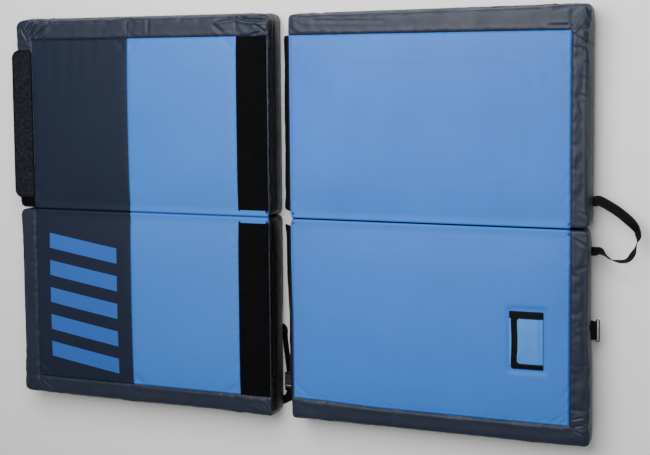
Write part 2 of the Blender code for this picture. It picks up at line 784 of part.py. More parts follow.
def end_zip(panel):
    """The zip in the end wall, through which the foam goes in, and its slider with a pull."""
    wall = PANEL_LENGTH + WALL_BULGE + CLEARANCE
    middle = (THICKNESS + panel.hollow(panel.x1, panel.y1)) / 2
    tape = box_mesh(
        (panel.x0 + ZIP_MARGIN, wall, middle - ZIP_WIDTH / 2),
        (panel.x1 - ZIP_MARGIN, wall + ZIP_THICKNESS, middle + ZIP_WIDTH / 2))
    bmesh.ops.transform(tape, matrix=panel_matrix(panel), verts=tape.verts)
    add_piece(panel.name + "_zip", tape, panel.name, black_webbing())
    near = wall + ZIP_THICKNESS + CLEARANCE
    start = panel.x0 + ZIP_MARGIN + SLIDER_LENGTH
    middle_x, end = start + SLIDER_LENGTH, start + SLIDER_LENGTH + PULL_LENGTH
    outline = [
        (start, near), (end, near), (end, near + PULL_THICKNESS), (middle_x, near + PULL_THICKNESS),
        (middle_x, near + SLIDER_HEIGHT), (start, near + SLIDER_HEIGHT)]
    slider = prism_body(outline, middle - SLIDER_WIDTH / 2, middle + SLIDER_WIDTH / 2)
    bmesh.ops.transform(slider, matrix=panel_matrix(panel), verts=slider.verts)
    add_piece(panel.name + "_zip_slider", slider, panel.name, black_plastic())


def prism_body(outline, low, high):
    """An outline in plan, pulled up into a solid."""
    mesh = bmesh.new()
    under = [mesh.verts.new((x, y, low)) for x, y in outline]
    over = [mesh.verts.new((x, y, high)) for x, y in outline]
    mesh.faces.new(list(reversed(under)))
    mesh.faces.new(over)
    for k in range(len(outline)):
        after = (k + 1) % len(outline)
        mesh.faces.new((under[k], under[after], over[after], over[k]))
    return mesh


# Carpet flap on the upper left border
def carpet_flap(panel):
    """The carpet for wiping shoes, its bound edge, and the fleece strip that it closes onto."""
    axis = OUTER_EDGE + CARPET_AXIS_X
    outer = axis - CARPET_WIDTH + BINDING_WIDTH
    radius = CARPET_RADIUS - BINDING_WIDTH
    start, end = CARPET_START + BINDING_WIDTH, CARPET_END - BINDING_WIDTH
    xs = joined(divided(outer, outer + radius, ROUNDING_SHARES), [axis])
    ys = joined(divided(start, start + radius, ROUNDING_SHARES), divided(end - radius, end, ROUNDING_SHARES))
    square = [axis + radius + CLEARANCE]
    mesh = cell_body(
        xs + square, ys, lambda x, y: CARPET_BASE, lambda x, y: CARPET_BASE + CARPET_THICKNESS,
        panel.place, lambda i, j: i < len(xs) - 1, radius)
    add_piece("carpet_flap", mesh, "carpet", carpet_cloth())
    carpet_binding(panel, axis, outer, start, end, radius)
    fleece_xs = [panel.x0 + EDGE_RADIUS, axis + CARPET_SEAM - CLEARANCE]
    fleece = cell_body(
        fleece_xs, [FLEECE_START, CARPET_END - FLEECE_MARGIN],
        lambda x, y: FLEECE_BASE, lambda x, y: FLEECE_BASE + FLEECE_THICKNESS, panel.place)
    add_piece("carpet_fleece_strip", fleece, panel.name, carpet_cloth())


def carpet_binding(panel, axis, outer, start, end, radius):
    """The binding sewn round the carpet's three free edges."""
    path = rounded_hook(axis, outer - CLEARANCE, start - CLEARANCE, end + CLEARANCE, radius + CLEARANCE)
    wide = rounded_hook(
        axis, outer - BINDING_WIDTH, start - BINDING_WIDTH, end + BINDING_WIDTH, radius + BINDING_WIDTH)
    mesh = bmesh.new()
    rows = []
    for inside, outside in zip(path, wide):
        rows.append([mesh.verts.new(panel.place(*p)) for p in (
            (*inside, CARPET_BASE), (*outside, CARPET_BASE),
            (*outside, CARPET_BASE + CARPET_THICKNESS), (*inside, CARPET_BASE + CARPET_THICKNESS))])
    add_piece("carpet_flap_binding", closed_sweep(mesh, rows), "carpet", black_webbing())


def rounded_hook(open_x, x0, y0, y1, radius):
    """A line along three sides of a box, open at open_x, with two rounded corners."""
    half = [math.asin(share * math.sqrt(0.5)) for share in ROUNDING_SHARES]
    turns = half + [math.pi / 2 - turn for turn in reversed(half[:-1])]
    points = [(open_x, y0)]
    for centre_y, first in ((y0 + radius, -math.pi / 2), (y1 - radius, math.pi)):
        for step in turns:
            turn = first - step
            points.append((x0 + radius + radius * math.cos(turn), centre_y + radius * math.sin(turn)))
    points.append((open_x, y1))
    return points


# Flaps that join the units
def join_flap(panel):
    """The hook flap on the right unit's join edge. At rest it droops into the gap."""
    body = "join_flap" + ("_upper" if panel.end == UPPER else "_lower")
    length, half = JOIN_FLAP_LENGTH, JOIN_FLAP_THICKNESS / 2
    start, end = panel.open_y0 + JOIN_FLAP_END_MARGIN, panel.open_y1 - JOIN_FLAP_END_MARGIN
    radius = JOIN_FLAP_RADIUS
    xs = joined([0.0, 2 * JOIN_BEAD], divided(length - radius, length, ROUNDING_SHARES))
    ys = joined(divided(start, start + radius, ROUNDING_SHARES), divided(end - radius, end, ROUNDING_SHARES))
    turn = math.radians(JOIN_FLAP_DROOP)
    square = [-radius - CLEARANCE]

    def place(x, y, z):
        along, rise = x * math.cos(turn) + z * math.sin(turn), -x * math.sin(turn) + z * math.cos(turn)
        return JOIN_AXIS_X - along, panel.end * y, JOIN_AXIS_Z + rise

    def reach(x):
        return JOIN_BEAD if x < JOIN_BEAD else half

    mesh = cell_body(square + xs, ys, lambda x, y: -reach(x), lambda x, y: reach(x), place,
                     lambda i, j: i > 0, radius)
    add_piece(body, mesh, body, hook_cloth())


# Bound flap on the lower right face
def patch_flap(panel):
    """The small flap with binding on three sides and its fourth side sewn to the face."""
    x_sewn = BORDER + PATCH_FROM_BORDER
    x_free = x_sewn + PATCH_WIDTH
    y_near, y_far = PATCH_FROM_FOLD, PATCH_FROM_FOLD + PATCH_LENGTH
    in_x = x_free - PATCH_BINDING_SIDE
    in_near, in_far = y_near + PATCH_BINDING_TOP, y_far - PATCH_BINDING_BOTTOM
    half = CLEARANCE / 2

    def low(x, y):
        return THICKNESS + crown_at(x, y) + CLEARANCE

    def high(x, y):
        return low(x, y) + PATCH_THICKNESS

    cloth_xs = divided(x_sewn, in_x - half, BLUE_SHARES)
    cloth_ys = divided(in_near + half, in_far - half, BLUE_SHARES)
    add_piece("patch_flap_cloth", cell_body(cloth_xs, cloth_ys, low, high, panel.place),
              "patch_flap", blue_cloth())
    xs = joined(divided(x_sewn, in_x + half, BLUE_SHARES), [x_free])
    ys = joined([y_near], divided(in_near - half, in_far + half, BLUE_SHARES), [y_far])
    binding = cell_body(
        xs, ys, low, high, panel.place,
        lambda i, j: i == len(xs) - 2 or j in (0, len(ys) - 2))
    add_piece("patch_flap_binding", binding, "patch_flap", black_webbing())


# Webbing loop across the fold
def wall_at(height):
    """How far out the cover's bulged side wall stands at a height."""
    off_middle = abs(height - THICKNESS / 2) / (THICKNESS / 2 - EDGE_RADIUS)
    return OUTER_EDGE + WALL_BULGE * (1 - off_middle)


def loop_path():
    """The loop's middle line from its upper end to its lower end, and its width directions."""
    wall = wall_at(LOOP_HEIGHT - LOOP_THICKNESS / 2) + CLEARANCE
    far, low = wall + LOOP_REACH, -LOOP_LOWER_ANCHOR
    upper, outer, inner = LOOP_UPPER_BEND_SHARES, LOOP_OUTER_BEND_SHARES, LOOP_INNER_BEND_SHARES
    return (
        Vector((wall, LOOP_UPPER_ANCHOR, LOOP_HEIGHT)),
        Vector((wall + LOOP_TAB, LOOP_UPPER_ANCHOR, LOOP_HEIGHT)),
        Vector((wall + LOOP_REACH * upper[0], LOOP_UPPER_ANCHOR * upper[1], LOOP_HEIGHT)),
        Vector((far, 0, LOOP_HEIGHT)),
        Vector((far, -LOOP_SAG, LOOP_HEIGHT)),
        Vector((wall + LOOP_REACH * outer[0], low - LOOP_SAG * outer[1], LOOP_HEIGHT)),
        Vector((wall + LOOP_REACH * inner[0], low - LOOP_SAG * inner[1], LOOP_HEIGHT)),
        Vector((wall + LOOP_TAB, low, LOOP_HEIGHT)),
        Vector((wall, low, LOOP_HEIGHT)),
    )


def curve_point(route, share):
    """A point of the smooth curve through the route."""
    spans = len(route) - 1
    k = min(int(share * spans), spans - 1)
    t = share * spans - k
    a, b = route[max(k - 1, 0)], route[k]
    c, d = route[k + 1], route[min(k + 2, spans)]
    return (b * 2 + (c - a) * t + (a * 2 - b * 5 + c * 4 - d) * t * t
            + (b * 3 - a - c * 3 + d) * t * t * t) / 2


def fold_share(route):
    """How far along the route it crosses the fold line."""
    low, high = 0.0, 1.0
    for _ in range(FOLD_SEARCH_STEPS):
        middle = (low + high) / 2
        if curve_point(route, middle).y > 0:
            low = middle
        else:
            high = middle
    return low


def loop_half(name, body, start, end, steps):
    """The loop from one share of its route to another. Its width turns upright at the far bend."""
    route = loop_path()
    points, flats, headings = [], [], []
    for k in range(steps + 1):
        share = start + (end - start) * k / steps
        points.append(curve_point(route, share))
        turn = math.pi / 2 * max(0.0, math.sin(math.pi * share)) ** 2
        along = (curve_point(route, min(share + 1 / LOOP_STEPS, 1))
                 - curve_point(route, max(share - 1 / LOOP_STEPS, 0))).normalized()
        level = Vector((-along.y, along.x, 0))
        flats.append(level * math.cos(turn) + Vector((0, 0, math.sin(turn))))
        headings.append(along)
    square, inner = (0, 1) if start == 0 else (-1, -2)
    points[square].y, points[square].z = points[inner].y, points[inner].z
    for k in (square, inner):
        flats[k], headings[k] = Vector((0, 1, 0)), Vector((1 if start == 0 else -1, 0, 0))
    mesh = ribbon_body(points, flats, LOOP_WIDTH, LOOP_THICKNESS, headings)
    add_piece(name, mesh, body, black_webbing())


def webbing_loop():
    """Both halves of the carrying loop. It is one piece of webbing that bends at the fold line."""
    route = loop_path()
    cut = fold_share(route)
    length = (curve_point(route, cut + 1 / LOOP_STEPS) - curve_point(route, cut)).length * LOOP_STEPS
    gap = CLEARANCE / length
    first = max(3, round(LOOP_STEPS * cut))
    loop_half("webbing_loop_upper", "right_upper", 0.0, cut - gap, first)
    loop_half("webbing_loop_lower", "right_lower", cut + gap, 1.0, LOOP_STEPS - first)


# Wire ring
def wire_ring():
    """A long wire ring with round ends. Its inner straight side turns in the webbing tab."""
    bend = (RING_DEPTH - RING_WIRE) / 2
    reach = RING_LENGTH / 2 - RING_WIRE / 2 - bend
    path = []
    for y, first in ((reach, math.pi), (-reach, 0.0)):
        for step in range(RING_BEND_STEPS + 1):
            turn = first - step * math.pi / RING_BEND_STEPS
            path.append(Vector((bend + bend * math.cos(turn), y + bend * math.sin(turn), 0)))
    centre = Vector((RING_AXIS_X, -RING_FROM_FOLD, RING_HEIGHT))
    mesh = bmesh.new()
    rows = []
    for k, point in enumerate(path):
        along = (path[(k + 1) % len(path)] - path[k - 1]).normalized()
        side = Vector((along.y, -along.x, 0))
        turns = [step * 2 * math.pi / WIRE_SIDES for step in range(WIRE_SIDES)]
        offsets = [side * math.cos(turn) + Vector((0, 0, math.sin(turn))) for turn in turns]
        rows.append([mesh.verts.new(centre + point + offset * RING_WIRE / 2) for offset in offsets])
    for a, b in zip(rows, rows[1:] + rows[:1]):
        for k in range(WIRE_SIDES):
            after = (k + 1) % WIRE_SIDES
            mesh.faces.new((a[k], a[after], b[after], b[k]))
    add_piece("wire_ring", mesh, "ring", steel_wire())


def ring_tab():
    """The webbing tab: an eye round the ring's straight side, with two feet sewn to the wall."""
    inner = RING_WIRE / 2 + CLEARANCE
    outer = inner + TAB_WALL
    foot = outer + TAB_FOOT
    wall = OUTER_EDGE + WALL_BULGE + CLEARANCE - RING_AXIS_X
    outside, inside = [(wall, -foot)], []
    for step in range(TAB_EYE_STEPS + 1):
        turn = -math.pi / 2 + step * math.pi / TAB_EYE_STEPS
        outside.append((outer * math.cos(turn), outer * math.sin(turn)))
    outside += [(wall, foot)]
    for step in range(2 * TAB_EYE_STEPS):
        turn = step * math.pi / TAB_EYE_STEPS
        inside.append((inner * math.cos(turn), inner * math.sin(turn)))
    mesh = bmesh.new()
    ends = []
    for y in (-TAB_WIDTH / 2, TAB_WIDTH / 2):
        rims = []
        for loop in (outside, inside):
            verts = [mesh.verts.new((RING_AXIS_X + x, y - RING_FROM_FOLD, RING_HEIGHT + z)) for x, z in loop]
            edges = [mesh.edges.new((verts[k], verts[(k + 1) % len(verts)])) for k in range(len(verts))]
            rims.append((verts, edges))
        bmesh.ops.triangle_fill(mesh, use_beauty=True, edges=rims[0][1] + rims[1][1])
        ends.append(rims)
    for k in range(2):
        low, high = ends[0][k][0], ends[1][k][0]
        for n in range(len(low)):
            after = (n + 1) % len(low)
            mesh.faces.new((low[n], low[after], high[after], high[n]))
    add_piece("ring_tab", mesh, "right_lower", black_webbing())


# Harness on the back of the lower left panel
def harness_ceiling():
    """The highest that a piece under the panel's back may reach."""
    return HOLLOW_DEPTH - CLEARANCE


def yoke_and_anchors():
    """The sewn patches that carry the straps' ends."""
    top = harness_ceiling()
    low = top - PATCH_PLATE
    yoke = box_mesh(
        (-SHOULDER_TOP - YOKE_WIDTH / 2, -HARNESS_AXIS - YOKE_LENGTH / 2, low),
        (-SHOULDER_TOP + YOKE_WIDTH / 2, -HARNESS_AXIS + YOKE_LENGTH / 2, top))
    add_piece("harness_yoke", yoke, "left_lower", charcoal_cloth())
    reach = ANCHOR_SPREAD + ANCHOR_SIDE / 2
    anchors = box_mesh((-ANCHOR_DISTANCE - ANCHOR_SIDE / 2, -HARNESS_AXIS - reach, low),
                       (-ANCHOR_DISTANCE + ANCHOR_SIDE / 2, -HARNESS_AXIS + reach, top))
    add_piece("harness_anchor_band", anchors, "left_lower", charcoal_cloth())


def shoulder_spread(share):
    """Distance of a shoulder strap's middle from the harness's middle, from its top to its end."""
    eased = share * share * (3 - 2 * share)
    straight = SHOULDER_TOP_SPREAD + (SHOULDER_BOTTOM_SPREAD - SHOULDER_TOP_SPREAD) * eased
    return straight + SHOULDER_BOW * math.sin(math.pi * share) ** 2


def shoulder_straps():
    """Two padded straps, their adjusting webbings and ladder locks."""
    high = harness_ceiling() - PATCH_PLATE - CLEARANCE
    low = high - SHOULDER_THICKNESS
    for side, label in ((1, "upper"), (-1, "lower")):
        middle, widths = [], []
        for k in range(SHOULDER_STEPS + 1):
            share = k / SHOULDER_STEPS
            x = -(SHOULDER_TOP + (SHOULDER_BOTTOM - SHOULDER_TOP) * share)
            middle.append(Vector((x, -HARNESS_AXIS + side * shoulder_spread(share))))
            end = min(share, 1 - share) * SHOULDER_STEPS
            round_off = 1.0 if end >= len(SHOULDER_END_SHARES) else SHOULDER_END_SHARES[int(end)]
            widths.append(SHOULDER_WIDTH * round_off)
        mesh = band_body(middle, widths, max(low, FLOOR_GAP), high)
        add_piece("shoulder_strap_" + label, mesh, "left_lower", charcoal_cloth())
        last = (middle[-1] - middle[-2]).normalized()
        end = middle[-1] + Vector((abs(last.y) * widths[-1] / 2, 0))
        adjusting_webbing(side, label, end, high)


def threaded_end(corner, outward, level, top):
    """Webbing that comes up through a slot: down in the slot, round the bar's edge, and outward."""
    back = corner - outward * WRAP_RADIUS
    points = [Vector((back.x, back.y, top)), Vector((back.x, back.y, level + WRAP_RADIUS))]
    for step in range(1, WRAP_STEPS + 1):
        turn = step * math.pi / (2 * WRAP_STEPS)
        plan = corner - outward * WRAP_RADIUS * math.cos(turn)
        points.append(Vector((plan.x, plan.y, level + WRAP_RADIUS * (1 - math.sin(turn)))))
    return points


def side_directions(points):
    """The level direction across a line in plan, at each of its points."""
    flats = []
    for k in range(len(points)):
        before, after = points[max(k - 1, 0)], points[min(k + 1, len(points) - 1)]
        along = Vector((after.x - before.x, after.y - before.y, 0))
        if along.length < CLEARANCE:
            flats.append(None)
            continue
        along.normalize()
        flats.append(Vector((-along.y, along.x, 0)))
    known = [flat for flat in flats if flat]
    return [flat or known[0] for flat in flats]


def adjusting_webbing(side, label, end, high):
    """The ladder lock at a strap's end, and the webbing from it to the sewn anchor."""
    start, y = end[0] + 2 * CLEARANCE, end[1]
    low = high - LOCK_THICKNESS
    lock = box_mesh((start, y - LOCK_WIDTH / 2, low), (start + LOCK_LENGTH, y + LOCK_WIDTH / 2, high))
    piece = add_piece("ladder_lock_" + label, lock, "left_lower", black_plastic())
    slot = WEBBING_WIDTH / 2 + 2 * CLEARANCE
    for k in range(2):
        x = start + LOCK_BAR + k * (LOCK_SLOT + LOCK_MIDDLE_BAR)
        cut_with(piece, f"lock_slot_{label}_{k}", (x, y - slot, -LOCK_SLOT),
                 (x + LOCK_SLOT, y + slot, HOLLOW_DEPTH + LOCK_SLOT))
    bar = start + LOCK_LENGTH - LOCK_BAR
    under = low - CLEARANCE - WEBBING_THICKNESS / 2
    level = high - WEBBING_THICKNESS / 2
    anchor = Vector((-ANCHOR_DISTANCE - ANCHOR_SIDE / 3, -HARNESS_AXIS + side * ANCHOR_SPREAD, level))
    points = threaded_end(Vector((bar, y, 0)), Vector((1, 0, 0)), under, high)
    clear = start + LOCK_LENGTH + LOCK_BAR
    risen = Vector((clear + RISE_RUN, y, level))
    points += [Vector((clear, y, under)), risen, (risen + anchor) / 2, anchor]
    flats = [Vector((0, 1, 0))] * (len(points) - 2) + side_directions(points[-3:])[1:]
    flats[-1] = flats[-2] = side_directions(points[-3:])[1]
    add_piece("adjusting_webbing_" + label, ribbon_body(points, flats, WEBBING_WIDTH, WEBBING_THICKNESS),
              "left_lower", black_webbing())


# Hip belt and buckle
def buckle_socket():
    """The buckle's hollow half, open toward the plug, with windows that the plug's barbs snap into."""
    x0, x1 = -BUCKLE_X - BUCKLE_WIDTH / 2, -BUCKLE_X + BUCKLE_WIDTH / 2
    y1, y0 = -BUCKLE_START, -(BUCKLE_START + SOCKET_LENGTH)
    z0, z1 = FLOOR_GAP, FLOOR_GAP + BUCKLE_THICKNESS
    mesh = box_mesh((x0, y0, z0), (x1, y1, z1))
    bmesh.ops.bevel(mesh, geom=mesh.edges, offset=BUCKLE_BEVEL, segments=1, affect="EDGES", profile=0.5)
    piece = add_piece("belt_buckle_socket", mesh, "left_lower", black_plastic())
    slot = BELT_WIDTH / 2 + 2 * CLEARANCE
    slot_y = y1 - SLOT_MARGIN
    cut_with(piece, "socket_slot", (-BUCKLE_X - slot, slot_y - SLOT_WIDTH, z0 - SLOT_WIDTH),
             (-BUCKLE_X + slot, slot_y, z1 + SLOT_WIDTH))
    cut_with(piece, "socket_step", (-BUCKLE_X - slot, slot_y - SLOT_WIDTH / 2, z0 - SLOT_WIDTH),
             (-BUCKLE_X + slot, y1 + SLOT_WIDTH, z0 + WEBBING_THICKNESS + 2 * CLEARANCE))
    deep = y0 + PLUG_TONGUE + SOCKET_WALL
    cut_with(piece, "socket_hollow", (x0 + SOCKET_SIDE, y0 - SLOT_WIDTH, z0 + SOCKET_WALL),
             (x1 - SOCKET_SIDE, deep, z1 - SOCKET_WALL))
    window = deep - SOCKET_WALL - PLUG_BARB_LENGTH / 3
    cut_with(piece, "socket_windows", (x0 - SLOT_WIDTH, window - 2 * PLUG_BARB_LENGTH, z0 + SOCKET_WALL),
             (x1 + SLOT_WIDTH, deep - SOCKET_WALL / 2, z1 - SOCKET_WALL))


def plug_outline():
    """Half of the plug in plan: base, springy arm with its barb, and the middle tongue."""
    half = BUCKLE_WIDTH / 2
    arm_out = half - SOCKET_SIDE - PLUG_CLEARANCE - PLUG_BARB
    arm_in = arm_out - PLUG_ARM_WIDTH
    tongue = PLUG_TONGUE_WIDTH / 2
    tip = tongue * PLUG_ARM_TIP_SHARE
    barb = PLUG_TONGUE - PLUG_BARB_LENGTH
    root = 2 * PLUG_CLEARANCE
    return [
        (0, PLUG_TONGUE), (tongue * PLUG_TONGUE_TIP_SHARE, PLUG_TONGUE), (tongue, PLUG_TONGUE - tongue),
        (tongue, root), (arm_in, root), (arm_in, PLUG_TONGUE - PLUG_ARM_WIDTH), (arm_in + tip, PLUG_TONGUE),
        (arm_out - tip, PLUG_TONGUE), (arm_out + PLUG_BARB, barb + PLUG_BARB_LENGTH / 3),
        (arm_out + PLUG_BARB, barb), (arm_out, barb), (arm_out, -root), (half, -root),
        (half, -PLUG_BASE), (0, -PLUG_BASE),
    ]


def buckle_plug():
    """The buckle's plug: a base that holds the webbing, two barbed arms and a tongue."""
    right = plug_outline()
    outline = right + [(-x, y) for x, y in reversed(right) if x > 0]
    start = -(BUCKLE_START + SOCKET_LENGTH)
    z = FLOOR_GAP + BUCKLE_THICKNESS / 2
    points = [(-BUCKLE_X + x, start + y) for x, y in outline]
    mesh = prism_body(points, z - PLUG_THICKNESS / 2, z + PLUG_THICKNESS / 2)
    piece = add_piece("belt_buckle_plug", mesh, "buckle_plug", black_plastic())
    slot = BELT_WIDTH / 2 + 2 * CLEARANCE
    for k in range(2):
        y = start - SLOT_MARGIN - k * (SLOT_WIDTH + SLOT_MARGIN)
        cut_with(piece, f"plug_slot_{k}", (-BUCKLE_X - slot, y - SLOT_WIDTH, z - BUCKLE_THICKNESS),
                 (-BUCKLE_X + slot, y, z + BUCKLE_THICKNESS))


def belt_webbings():
    """The belt's two webbings, from where they are sewn under the panel to the buckle, and its tail."""
    ceiling = HOLLOW_DEPTH - CLEARANCE - WEBBING_THICKNESS / 2
    level = FLOOR_GAP + WEBBING_THICKNESS / 2
    bar = Vector((-BUCKLE_X, -BUCKLE_START - SLOT_MARGIN, 0))
    points = threaded_end(bar, Vector((0, 1, 0)), level, FLOOR_GAP + BUCKLE_THICKNESS)
    leaving = Vector((-BUCKLE_X, -BUCKLE_START + SLOT_MARGIN, level))
    out = Vector((-UNIT_GAP / 2, -BELT_EXIT, level))
    sewn = Vector((-BELT_ANCHOR_X, -BELT_ANCHOR_Y, ceiling))
    low_climb, high_climb = (out.lerp(sewn, share) for share in BELT_CLIMB_SHARES)
    points += [leaving, *(leaving.lerp(out, share) for share in BELT_RUN_SHARES), out,
               low_climb + Vector((0, 0, -FLOOR_GAP)), high_climb, sewn]
    add_piece("belt_webbing_upper",
              ribbon_body(points, side_directions(points), BELT_WIDTH, WEBBING_THICKNESS),
              "left_lower", black_webbing())
    plug_low = FLOOR_GAP + BUCKLE_THICKNESS / 2 - PLUG_THICKNESS / 2
    bar = Vector((-BUCKLE_X, -(BUCKLE_START + SOCKET_LENGTH + 2 * SLOT_MARGIN + 2 * SLOT_WIDTH), 0))
    level = plug_low - CLEARANCE - WEBBING_THICKNESS / 2
    points = threaded_end(bar, Vector((0, -1, 0)), level, plug_low + PLUG_THICKNESS)
    leaving = Vector((-BUCKLE_X, -(BUCKLE_START + SOCKET_LENGTH + PLUG_BASE), level))
    back = Vector((-BELT_RETURN_X, BELT_RETURN_FROM_END - PANEL_LENGTH, level))
    end = Vector((-BELT_END_X, BELT_END_FROM_END - PANEL_LENGTH, ceiling))
    turn = Vector((-BUCKLE_X, back.y, level))
    points += [leaving.lerp(turn, BELT_TURN_SHARE), (leaving + turn * 2 + back) / 4, back,
               (back + end) / 2, end]
    add_piece("belt_webbing_lower",
              ribbon_body(points, side_directions(points), BELT_WIDTH, WEBBING_THICKNESS),
              "buckle_plug", black_webbing())
    level = FLOOR_GAP + WEBBING_THICKNESS / 2
    start = Vector((-TAIL_START_X, TAIL_START_FROM_END - PANEL_LENGTH, level))
    stop = Vector((TAIL_END_X, TAIL_END_FROM_END - PANEL_LENGTH, level))
    points = [start, (start + stop) / 2, stop]
    add_piece("belt_tail", ribbon_body(points, side_directions(points), BELT_WIDTH, WEBBING_THICKNESS),
              "buckle_plug", black_webbing())


# The whole object
def centre_on_origin():
    """Move all the bodies so that the origin is under the middle of the part's box."""
    bpy.context.view_layer.update()
    places = [piece.matrix_world @ corner.co for piece in bpy.data.objects
              if piece.type == "MESH" and not piece.hide_render for corner in piece.data.vertices]
    for k in range(2):
        middle = (min(place[k] for place in places) + max(place[k] for place in places)) / 2
        bpy.data.objects["left_lower_body"].location[k] -= middle


def build():
    """Make every piece."""
    for old in list(bpy.data.objects):
        bpy.data.objects.remove(old)
    make_bodies()
    for unit in (LEFT, RIGHT):
        for end in (UPPER, LOWER):
            panel = Panel(unit, end)
            cover_shell(panel)
            foam_layers(panel)
            landing_face(panel)
            fold_strip(panel)
            end_zip(panel)
            if unit == RIGHT:
                join_flap(panel)
    carpet_flap(Panel(LEFT, UPPER))
    patch_flap(Panel(RIGHT, LOWER))
    webbing_loop()
    wire_ring()
    ring_tab()
    yoke_and_anchors()
    shoulder_straps()
    buckle_socket()
    buckle_plug()
    belt_webbings()
    centre_on_origin()


build()
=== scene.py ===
"""Dressed bouldering pad: cloth covers, sewn fields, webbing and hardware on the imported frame."""
import math

import bmesh
import bpy
import numpy as np
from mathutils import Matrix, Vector, noise
from mathutils.bvhtree import BVHTree


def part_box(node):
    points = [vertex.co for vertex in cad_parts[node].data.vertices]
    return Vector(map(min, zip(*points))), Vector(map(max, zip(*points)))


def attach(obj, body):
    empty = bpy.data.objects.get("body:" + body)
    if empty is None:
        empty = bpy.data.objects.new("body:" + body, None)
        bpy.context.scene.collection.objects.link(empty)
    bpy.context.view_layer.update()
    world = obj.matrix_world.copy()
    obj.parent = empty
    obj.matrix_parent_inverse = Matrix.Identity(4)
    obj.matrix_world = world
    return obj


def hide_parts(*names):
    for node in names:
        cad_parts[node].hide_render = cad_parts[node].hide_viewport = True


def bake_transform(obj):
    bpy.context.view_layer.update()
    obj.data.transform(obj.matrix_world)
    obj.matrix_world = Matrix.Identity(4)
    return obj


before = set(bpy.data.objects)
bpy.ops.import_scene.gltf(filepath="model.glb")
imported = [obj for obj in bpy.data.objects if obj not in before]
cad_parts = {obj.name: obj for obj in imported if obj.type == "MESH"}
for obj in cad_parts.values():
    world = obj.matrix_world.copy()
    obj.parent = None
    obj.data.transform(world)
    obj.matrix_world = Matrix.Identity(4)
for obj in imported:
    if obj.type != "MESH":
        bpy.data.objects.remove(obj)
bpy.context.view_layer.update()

# Sizes shared with the CAD model
UNIT_WIDTH = 1.0096
PANEL_LENGTH = 0.686
THICKNESS = 0.115
UNIT_GAP = 0.0708
FOLD_GAP = 0.003
EDGE_RADIUS = 0.009
WALL_BULGE = 0.004
CROWN = 0.008
BORDER = 0.066
JOIN_LIP = 0.008
FOLD_LIP = 0.0165
NAVY_WIDTH = 0.3992
LOOP_BAND_WIDTH = 0.1135
HOLLOW_DEPTH = 0.0105
JOIN_SHARE = 0.6  # the join edge's share of the edge radius
CLEARANCE = 0.0003
HARNESS_Y = -0.343
JOIN_AXIS = (0.037358, 0.114996)  # x from the middle of the gap, and z
JOIN_DROOP = 52.0  # degrees below level
PATCH_BOX = (0.1479, 0.2501, 0.2636, 0.4473)  # x and y in the lower right panel's frame
LOOP_WIDTH = 0.032
LOOP_THICKNESS = 0.002
LOOP_ROOT = 0.024  # how far the loop's ends reach into the wall
SHOULDER_WIDTH = 0.062
JOIN_FLAP_LENGTH = 0.062
BELT_X = -0.019  # from the middle of the gap
BELT_WIDTH = 0.02
BELT_LEVEL = 0.0012  # height of the belt's middle over the floor
STRAP_WIDTH = 0.025
STRAP_THICKNESS = 0.0014
WRAP_RADIUS = 0.0025
LOCK_BAR = 0.0035
ANCHOR_SPREAD = 0.175
BUCKLE_LENGTH = 0.043  # of the socket
SLOT_MARGIN = 0.003
SLOT_WIDTH = 0.0052
PLUG_BASE = 0.022

OUTER_EDGE = UNIT_GAP / 2 + UNIT_WIDTH
MOUTH = (BORDER, UNIT_WIDTH - JOIN_LIP, FOLD_GAP + FOLD_LIP, PANEL_LENGTH - BORDER)
NAVY_END = BORDER + NAVY_WIDTH
BAND_START = UNIT_WIDTH - JOIN_LIP - LOOP_BAND_WIDTH
END_BEND = PANEL_LENGTH - 0.02  # beyond this lie the end wall and its corners
BUCKLE_START = PANEL_LENGTH - 0.122
LEFT, RIGHT = -1, 1
UPPER, LOWER = 1, -1
UP, DOWN = Vector((0, 0, 1)), Vector((0, 0, -1))

# The middle of the gap between the units, in the part's frame
MIDDLE_X = (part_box("left_lower_cover")[1].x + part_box("right_lower_cover")[0].x) / 2

# Mesh spacing, how far the cloth may swell, and the frames of its simulation
STEP = 0.011
SEAM_STEP = 0.0035
TOP_SWELL = 0.003
WALL_SWELL = 0.004
SIM_FRAMES = 16
# How much further the filled cloth reaches than the solids: the lower faces and the ends of the panels
FACE_STRETCH = 0.009
LEFT_END_STRETCH = 0.008
RIGHT_END_STRETCH = 0.013
RIGHT_END_SLANT = 0.0095  # so much less at the right unit's join side
LOWER_JOIN_STRETCH = 0.006
# Zips in the end walls: distance from the unit's sides, width, and height of their middle
ZIP_MARGIN = 0.11
ZIP_WIDTH = 0.024
ZIP_HEIGHT = THICKNESS / 2


# Materials
def shade(colour, factor=1.0):
    """A colour made lighter or darker, with alpha."""
    return tuple(min(1.0, c * factor) for c in colour) + (1.0,)


